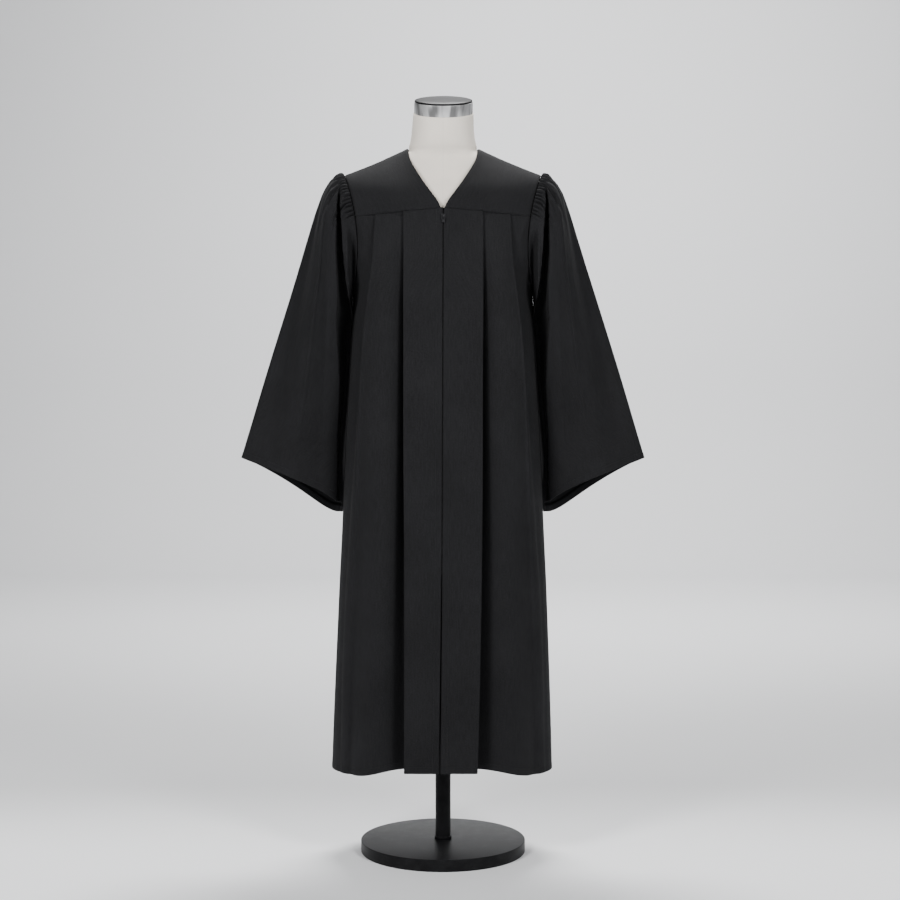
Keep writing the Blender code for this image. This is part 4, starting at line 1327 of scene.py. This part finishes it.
class GownStand(bpy.types.PropertyGroup):
    """The dress form and its stand."""

    cover_colour: colour_setting("Cover colour", "Base colour of the form's cover", (0.97, 0.90, 0.80))
    band_colour: colour_setting("Band colour", "Colour of the neck band", (0.95, 0.95, 0.95))
    coat_colour: colour_setting("Coat colour", "Base colour of the powder coat", (0.0085, 0.0085, 0.0092))
    rim: length_setting("Rim rounding", "Rounding of the base's rims", 0.0016, 0, 0.004)


class GownStage(bpy.types.PropertyGroup):
    """The studio."""

    paper_colour: colour_setting("Paper colour", "Colour of the floor and backdrop", (0.965, 0.970, 0.985))
    key: power_setting("Key light", "Power of the main light", 84.0)
    fill: power_setting("Fill light", "Power of the fill light", 68.0)
    top: power_setting("Top light", "Power of the light above", 150.0)
    wall: power_setting("Wall light", "Power of the light on the backdrop", 214.0)
    ambient: FloatProperty(
        name="Ambient", description="Strength of the light all round", default=0.14, min=0, max=2
    )


# One operator for each piece or group of like pieces


# Each look: what makes it, and the setting that holds its colour
LOOKS = {
    "Gown_twill": (gown_twill, "gown_cloth", "colour"),
    "Sewing_thread": (thread, "gown_cloth", "thread_colour"),
    "Zip_tape": (gown_twill, "gown_cloth", "tape_colour"),
    "Zip_coil": (enamel, "gown_cloth", "tape_colour"),
    "Zip_enamel": (enamel, "gown_cloth", "metal_colour"),
    "Form_jersey": (jersey, "gown_stand", "cover_colour"),
    "Brushed_chrome": (brushed_chrome, "gown_stand", "band_colour"),
    "Powder_coat": (powder_coat, "gown_stand", "coat_colour"),
    "Studio_paper": (paper_with_painted_light, "gown_stage", "paper_colour"),
}


def look(name):
    """A material by name, made the first time that it is asked for."""
    make, group, setting = LOOKS[name]
    colour = tuple(getattr(getattr(bpy.context.scene, group), setting))
    return bpy.data.materials.get(name) or make(colour, name)


def add_panel(name, node, grid, closed=False):
    """One cut piece of the gown: its shell and its place on the frame."""
    piece = add_piece(name, grid_mesh(name, grid, closed), look("Gown_twill"), (node,))
    add_wall(piece, bpy.context.scene.gown_cloth.wall)


class GOWN_OT_yokes(bpy.types.Operator):
    """Builds the two front yokes and the back yoke."""

    bl_idname = "gown.yokes"
    bl_label = "Yokes"

    def execute(self, context):
        for side in ("left", "right"):
            grid = yoke_front_grid(side == "left")
            grid, _ = turned_edge(grid, normals_of(grid), 1, side == "left", FACING_TURN)
            name, node = "Yoke_front_" + side, "yoke_front_" + side
            add_panel(name, node, grid)
        grid = yoke_back_grid()
        add_panel("Yoke_back", "yoke_back", grid)
        return {"FINISHED"}


class GOWN_OT_fronts(bpy.types.Operator):
    """Builds the two fronts, with their pleats, folded edges and hems."""

    bl_idname = "gown.fronts"
    bl_label = "Fronts"

    def execute(self, context):
        for side in ("left", "right"):
            grid = front_cloth(side == "left")
            name = "Front_" + side
            add_panel(name, "front_" + side, grid)
        return {"FINISHED"}


class GOWN_OT_back(bpy.types.Operator):
    """Builds the back, with its pleats and hem."""

    bl_idname = "gown.back"
    bl_label = "Back"

    def execute(self, context):
        grid = back_grid()
        grid, _ = turned_edge(grid, normals_of(grid), 0, True, HEM_TURN, HEM_RADIUS)
        add_panel("Back", "back", grid)
        return {"FINISHED"}


class GOWN_OT_sleeves(bpy.types.Operator):
    """Builds the two bell sleeves, gathered into their armholes."""

    bl_idname = "gown.sleeves"
    bl_label = "Sleeves"

    def execute(self, context):
        for side in ("left", "right"):
            grid = sleeve_grid(side == "left")
            grid, _ = turned_edge(grid, normals_of(grid, True), 0, True, HEM_TURN, HEM_RADIUS)
            name, node, holder = "Sleeve_" + side, "sleeve_" + side, "Yoke_front_" + side
            add_panel(name, node, grid, True)
        return {"FINISHED"}


def zip_line(heights, behind):
    """The middle of the zip at each height, at a depth behind the panels' face."""
    rows = table_at(SECTIONS, "z", np.asarray(heights) * 1000) / 1000
    return np.stack([rows[:, 1], rows[:, 2] + behind, np.asarray(heights)], 1)


TAPE_TOP = 1.3425
TAPE_WIDTH = 0.0120
TAPE_WALL = 0.0007
TAPE_GAP_HALF = 0.00005
TAPE_BEHIND = 0.0030
TOOTH = (0.0021, 0.0011, 0.0008)
TOOTH_PITCH = 0.0016
TOOTH_ASIDE = 0.00062
TOOTH_PROUD = 0.0009
METAL_EDGE = 0.00018


class GOWN_OT_zip(bpy.types.Operator):
    """Builds the zip: its two tapes, its teeth, its slider and its pull."""

    bl_idname = "gown.zip"
    bl_label = "Zip"

    def execute(self, context):
        heights = np.linspace(TAPE_TOP, ZIP_BOTTOM, 120)
        middle = zip_line(heights, TAPE_BEHIND)
        for sign, side in ((-1, "left"), (1, "right")):
            shares = np.linspace(0, 1, 6)[:, None] if sign > 0 else np.linspace(1, 0, 6)[:, None]
            reach = sign * (TAPE_GAP_HALF + shares * TAPE_WIDTH)
            grid = middle[:, None] + reach[None] * np.array([1, 0, 0])
            name, node = "Zip_tape_" + side, "zip_tape_" + side
            piece = add_piece(name, grid_mesh(name, grid), look("Zip_tape"), (node,))
            add_wall(piece, TAPE_WALL)
        shape = bmesh.new()
        bmesh.ops.create_cube(shape, size=1)
        bmesh.ops.scale(shape, vec=TOOTH, verts=shape.verts)
        bmesh.ops.bevel(
            shape, geom=[e for e in shape.edges if abs(e.verts[0].co.z - e.verts[1].co.z) > 0.0001],
            offset=0.0003, segments=1, profile=0.5, affect="EDGES", material=-1,
        )
        points, faces = points_of(shape)
        heights = np.arange(SLIDER_Z - 0.004, ZIP_BOTTOM + 0.002, -TOOTH_PITCH / 2)
        places = zip_line(heights, TAPE_BEHIND - TOOTH_PROUD)
        places[:, 0] += np.where(np.arange(len(places)) % 2, 1, -1) * TOOTH_ASIDE
        ways = np.tile([1.0, 0, 0], (len(places), 1))
        outs = np.tile([0.0, 0, 1], (len(places), 1))
        mesh = repeated_mesh("Zip_teeth", points, faces, places, ways, outs)
        add_piece("Zip_teeth", mesh, look("Zip_coil"))
        for node, body in (("zip_slider", BODY), ("zip_pull", PULL_BODY)):
            shape = bmesh.new()
            shape.from_mesh(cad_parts[node].data)
            bmesh.ops.remove_doubles(shape, verts=shape.verts, dist=0.00001)
            bmesh.ops.dissolve_limit(shape, angle_limit=0.02, verts=shape.verts, edges=shape.edges)
            name = node.capitalize()
            piece = add_piece(name, mesh_of(shape, name), look("Zip_enamel"), (node,), body)
            add_bevel(piece, METAL_EDGE)
        return {"FINISHED"}


class GOWN_OT_sewing(bpy.types.Operator):
    """Sews the hems, the cuffs and both sides of the zip."""

    bl_idname = "gown.sewing"
    bl_label = "Sewing"

    def execute(self, context):
        yarn = look("Sewing_thread")
        for side in ("left", "right"):
            left = side == "left"
            front = front_grid(left)
            stitch_along("Stitches_zip_" + side, front, ZIP_STITCHES, 1, left, yarn)
            stitch_along("Stitches_hem_" + side, front, HEM_STITCHES, 0, True, yarn)
            sleeve = sleeve_grid(left)
            stitch_along("Stitches_cuff_" + side, sleeve, HEM_STITCHES, 0, True, yarn, closed=True)
        stitch_along("Stitches_hem_back", back_grid(), HEM_STITCHES, 0, True, yarn)
        return {"FINISHED"}


class GOWN_OT_form(bpy.types.Operator):
    """Builds the dress form: its covered torso, its neck band and its rounded top."""

    bl_idname = "gown.form"
    bl_label = "Dress form"

    def execute(self, context):
        mesh = grid_mesh("Form_torso", form_grid()[:, ::-1], closed=True)
        shape = bmesh.new()
        shape.from_mesh(mesh)
        bmesh.ops.holes_fill(shape, edges=shape.edges, sides=0)
        bmesh.ops.recalc_face_normals(shape, faces=shape.faces)
        shape.to_mesh(mesh)
        shape.free()
        mesh.shade_smooth()
        add_piece("Form_torso", mesh, look("Form_jersey"), ("form_torso",))
        half = RING_HEIGHT / 2
        tilt = Matrix.Translation(RING_CENTRE) @ Matrix.Rotation(NECK_TILT, 4, "X")
        profile = [(0, half), (RING_RADIUS, half), (RING_RADIUS, -half), (0, -half)]
        band = turned_mesh("Form_neck_ring", profile, round_edges=0.0008)
        band.transform(tilt)
        add_piece("Form_neck_ring", band, look("Brushed_chrome"), ("form_neck_ring",))
        foot = half + STAND_GAP
        r, h = RING_RADIUS - 0.001, CAP_HEIGHT
        turns = np.linspace(0, math.pi / 2, 14)
        crown = [(r * math.sin(t), foot + h * (0.3 + 0.7 * math.cos(t))) for t in turns]
        cap = turned_mesh("Form_neck_cap", crown + [(r, foot), (0, foot)], round_edges=0.0003)
        cap.transform(tilt)
        add_piece("Form_neck_cap", cap, look("Powder_coat"), ("form_neck_cap",))
        return {"FINISHED"}


class GOWN_OT_stand(bpy.types.Operator):
    """Builds the stand: its round base and its pole."""

    bl_idname = "gown.stand"
    bl_label = "Stand"

    def execute(self, context):
        rim = context.scene.gown_stand.rim
        r, h = BASE_RADIUS, BASE_THICKNESS
        base = turned_mesh("Stand_base", [(0, h), (r, h), (r, 0), (0, 0)], 192, rim)
        add_piece("Stand_base", base, look("Powder_coat"), ("stand_base",))
        foot, top = h + STAND_GAP, FORM_BOTTOM - STAND_GAP
        collar = foot + COLLAR_HEIGHT
        profile = [(0, top), (POLE_RADIUS, top), (POLE_RADIUS, collar), (COLLAR_RADIUS, collar)]
        pole = turned_mesh("Stand_pole", profile + [(COLLAR_RADIUS, foot), (0, foot)], 96, 0.0008)
        add_piece("Stand_pole", pole, look("Powder_coat"), ("stand_pole",))
        return {"FINISHED"}


CAMERA_PLACE = (0.0147, -4.0, 1.0663)
CAMERA_PITCH = math.radians(3.137)
CAMERA_LENS = 76.64
SWEEP_START = 4.80
SWEEP_RADIUS = 0.90


PAPER_HALF = 9
PAPER_NEAR = -7
PAPER_HEIGHT = 6

# Each light: where it hangs, where it points, its size, and the setting that holds its power
Light = namedtuple("Light", "name place aim size setting")
LIGHTS = (
    Light("Key", (-1.7, -2.3, 2.75), (0, 0, 1.15), (0.8, 1.1), "key"),
    Light("Fill", (1.65, -2.3, 2.6), (0, 0, 1.15), (0.8, 1.1), "fill"),
    Light("Top", (0.15, 1.20, 3.6), (0.15, 0.7, 0.0), (1.4, 0.7), "top"),
    Light("Wall", (0.65, 2.6, 3.4), (0.4, 5.6, 1.1), (3.0, 0.9), "wall"),
)


def add_light(name, place, aim, size, power):
    light = bpy.data.lights.new(name, "AREA")
    light.shape = "RECTANGLE"
    light.size, light.size_y = size
    light.energy = power
    lamp = bpy.data.objects.new(name, light)
    bpy.context.scene.collection.objects.link(lamp)
    lamp.location = place
    lamp.rotation_euler = (Vector(aim) - Vector(place)).to_track_quat("-Z", "Y").to_euler()


class GOWN_OT_stage(bpy.types.Operator):
    """Sets the floor and backdrop, the lights and the camera."""

    bl_idname = "gown.stage"
    bl_label = "Studio"

    def execute(self, context):
        settings = context.scene.gown_stage
        shape = bmesh.new()
        ends = [shape.verts.new((-PAPER_HALF, y, 0)) for y in (PAPER_NEAR, SWEEP_START)]
        shape.edges.new(ends)
        start = bmesh.ops.extrude_vert_indiv(shape, verts=[ends[1]])["verts"]
        centre = (0, SWEEP_START, SWEEP_RADIUS)
        turned = bmesh.ops.spin(
            shape, geom=start, axis=(1, 0, 0), cent=centre, angle=math.pi / 2, steps=24
        )["geom_last"]
        top = [item for item in turned if isinstance(item, bmesh.types.BMVert)]
        wall = bmesh.ops.extrude_vert_indiv(shape, verts=top)["verts"]
        bmesh.ops.translate(shape, vec=(0, 0, PAPER_HEIGHT), verts=wall)
        bmesh.ops.remove_doubles(shape, verts=shape.verts, dist=0.0001)
        wide = bmesh.ops.extrude_edge_only(shape, edges=shape.edges)["geom"]
        far = [item for item in wide if isinstance(item, bmesh.types.BMVert)]
        bmesh.ops.translate(shape, vec=(2 * PAPER_HALF, 0, 0), verts=far)
        bmesh.ops.recalc_face_normals(shape, faces=shape.faces)
        paper = bpy.data.objects.new("Paper_sweep", mesh_of(shape, "Paper_sweep"))
        context.scene.collection.objects.link(paper)
        paper.data.materials.append(look("Studio_paper"))

        for name, place, aim, size, setting in LIGHTS:
            add_light(name, place, aim, size, getattr(settings, setting))
        world = bpy.data.worlds.new("Studio")
        world.use_nodes = True
        back = world.node_tree.nodes["Background"]
        back.inputs["Color"].default_value = (0.95, 0.97, 1.0, 1)
        back.inputs["Strength"].default_value = settings.ambient
        context.scene.world = world

        camera = bpy.data.cameras.new("Camera")
        camera.lens = CAMERA_LENS
        camera.sensor_width = 36
        seen = bpy.data.objects.new("Camera", camera)
        context.scene.collection.objects.link(seen)
        seen.location = CAMERA_PLACE
        seen.rotation_euler = (math.pi / 2 - CAMERA_PITCH, 0, 0)
        context.scene.camera = seen
        return {"FINISHED"}


OPERATORS = (
    GOWN_OT_yokes,
    GOWN_OT_fronts,
    GOWN_OT_back,
    GOWN_OT_sleeves,
    GOWN_OT_zip,
    GOWN_OT_sewing,
    GOWN_OT_form,
    GOWN_OT_stand,
    GOWN_OT_stage,
)


class GOWN_PT_panel(bpy.types.Panel):
    """Lists the gown's settings and its operators."""

    bl_idname = "GOWN_PT_panel"
    bl_label = "Graduation gown"
    bl_space_type = "VIEW_3D"
    bl_region_type = "UI"
    bl_category = "Gown"

    def draw(self, context):
        for group in (context.scene.gown_cloth, context.scene.gown_stand, context.scene.gown_stage):
            box = self.layout.box()
            for name in group.__annotations__:
                box.prop(group, name)
        for operator in OPERATORS:
            self.layout.operator(operator.bl_idname)


CLASSES = (GownCloth, GownStand, GownStage, *OPERATORS, GOWN_PT_panel)


def register():
    for each in CLASSES:
        bpy.utils.register_class(each)
    bpy.types.Scene.gown_cloth = PointerProperty(type=GownCloth)
    bpy.types.Scene.gown_stand = PointerProperty(type=GownStand)
    bpy.types.Scene.gown_stage = PointerProperty(type=GownStage)


def unregister():
    del bpy.types.Scene.gown_stage
    del bpy.types.Scene.gown_stand
    del bpy.types.Scene.gown_cloth
    for each in reversed(CLASSES):
        bpy.utils.unregister_class(each)


def main():
    register()
    for step in ("yokes", "fronts", "back", "sleeves", "zip", "sewing", "form", "stand", "stage"):
        getattr(bpy.ops.gown, step)()


if __name__ == "__main__":
    main()
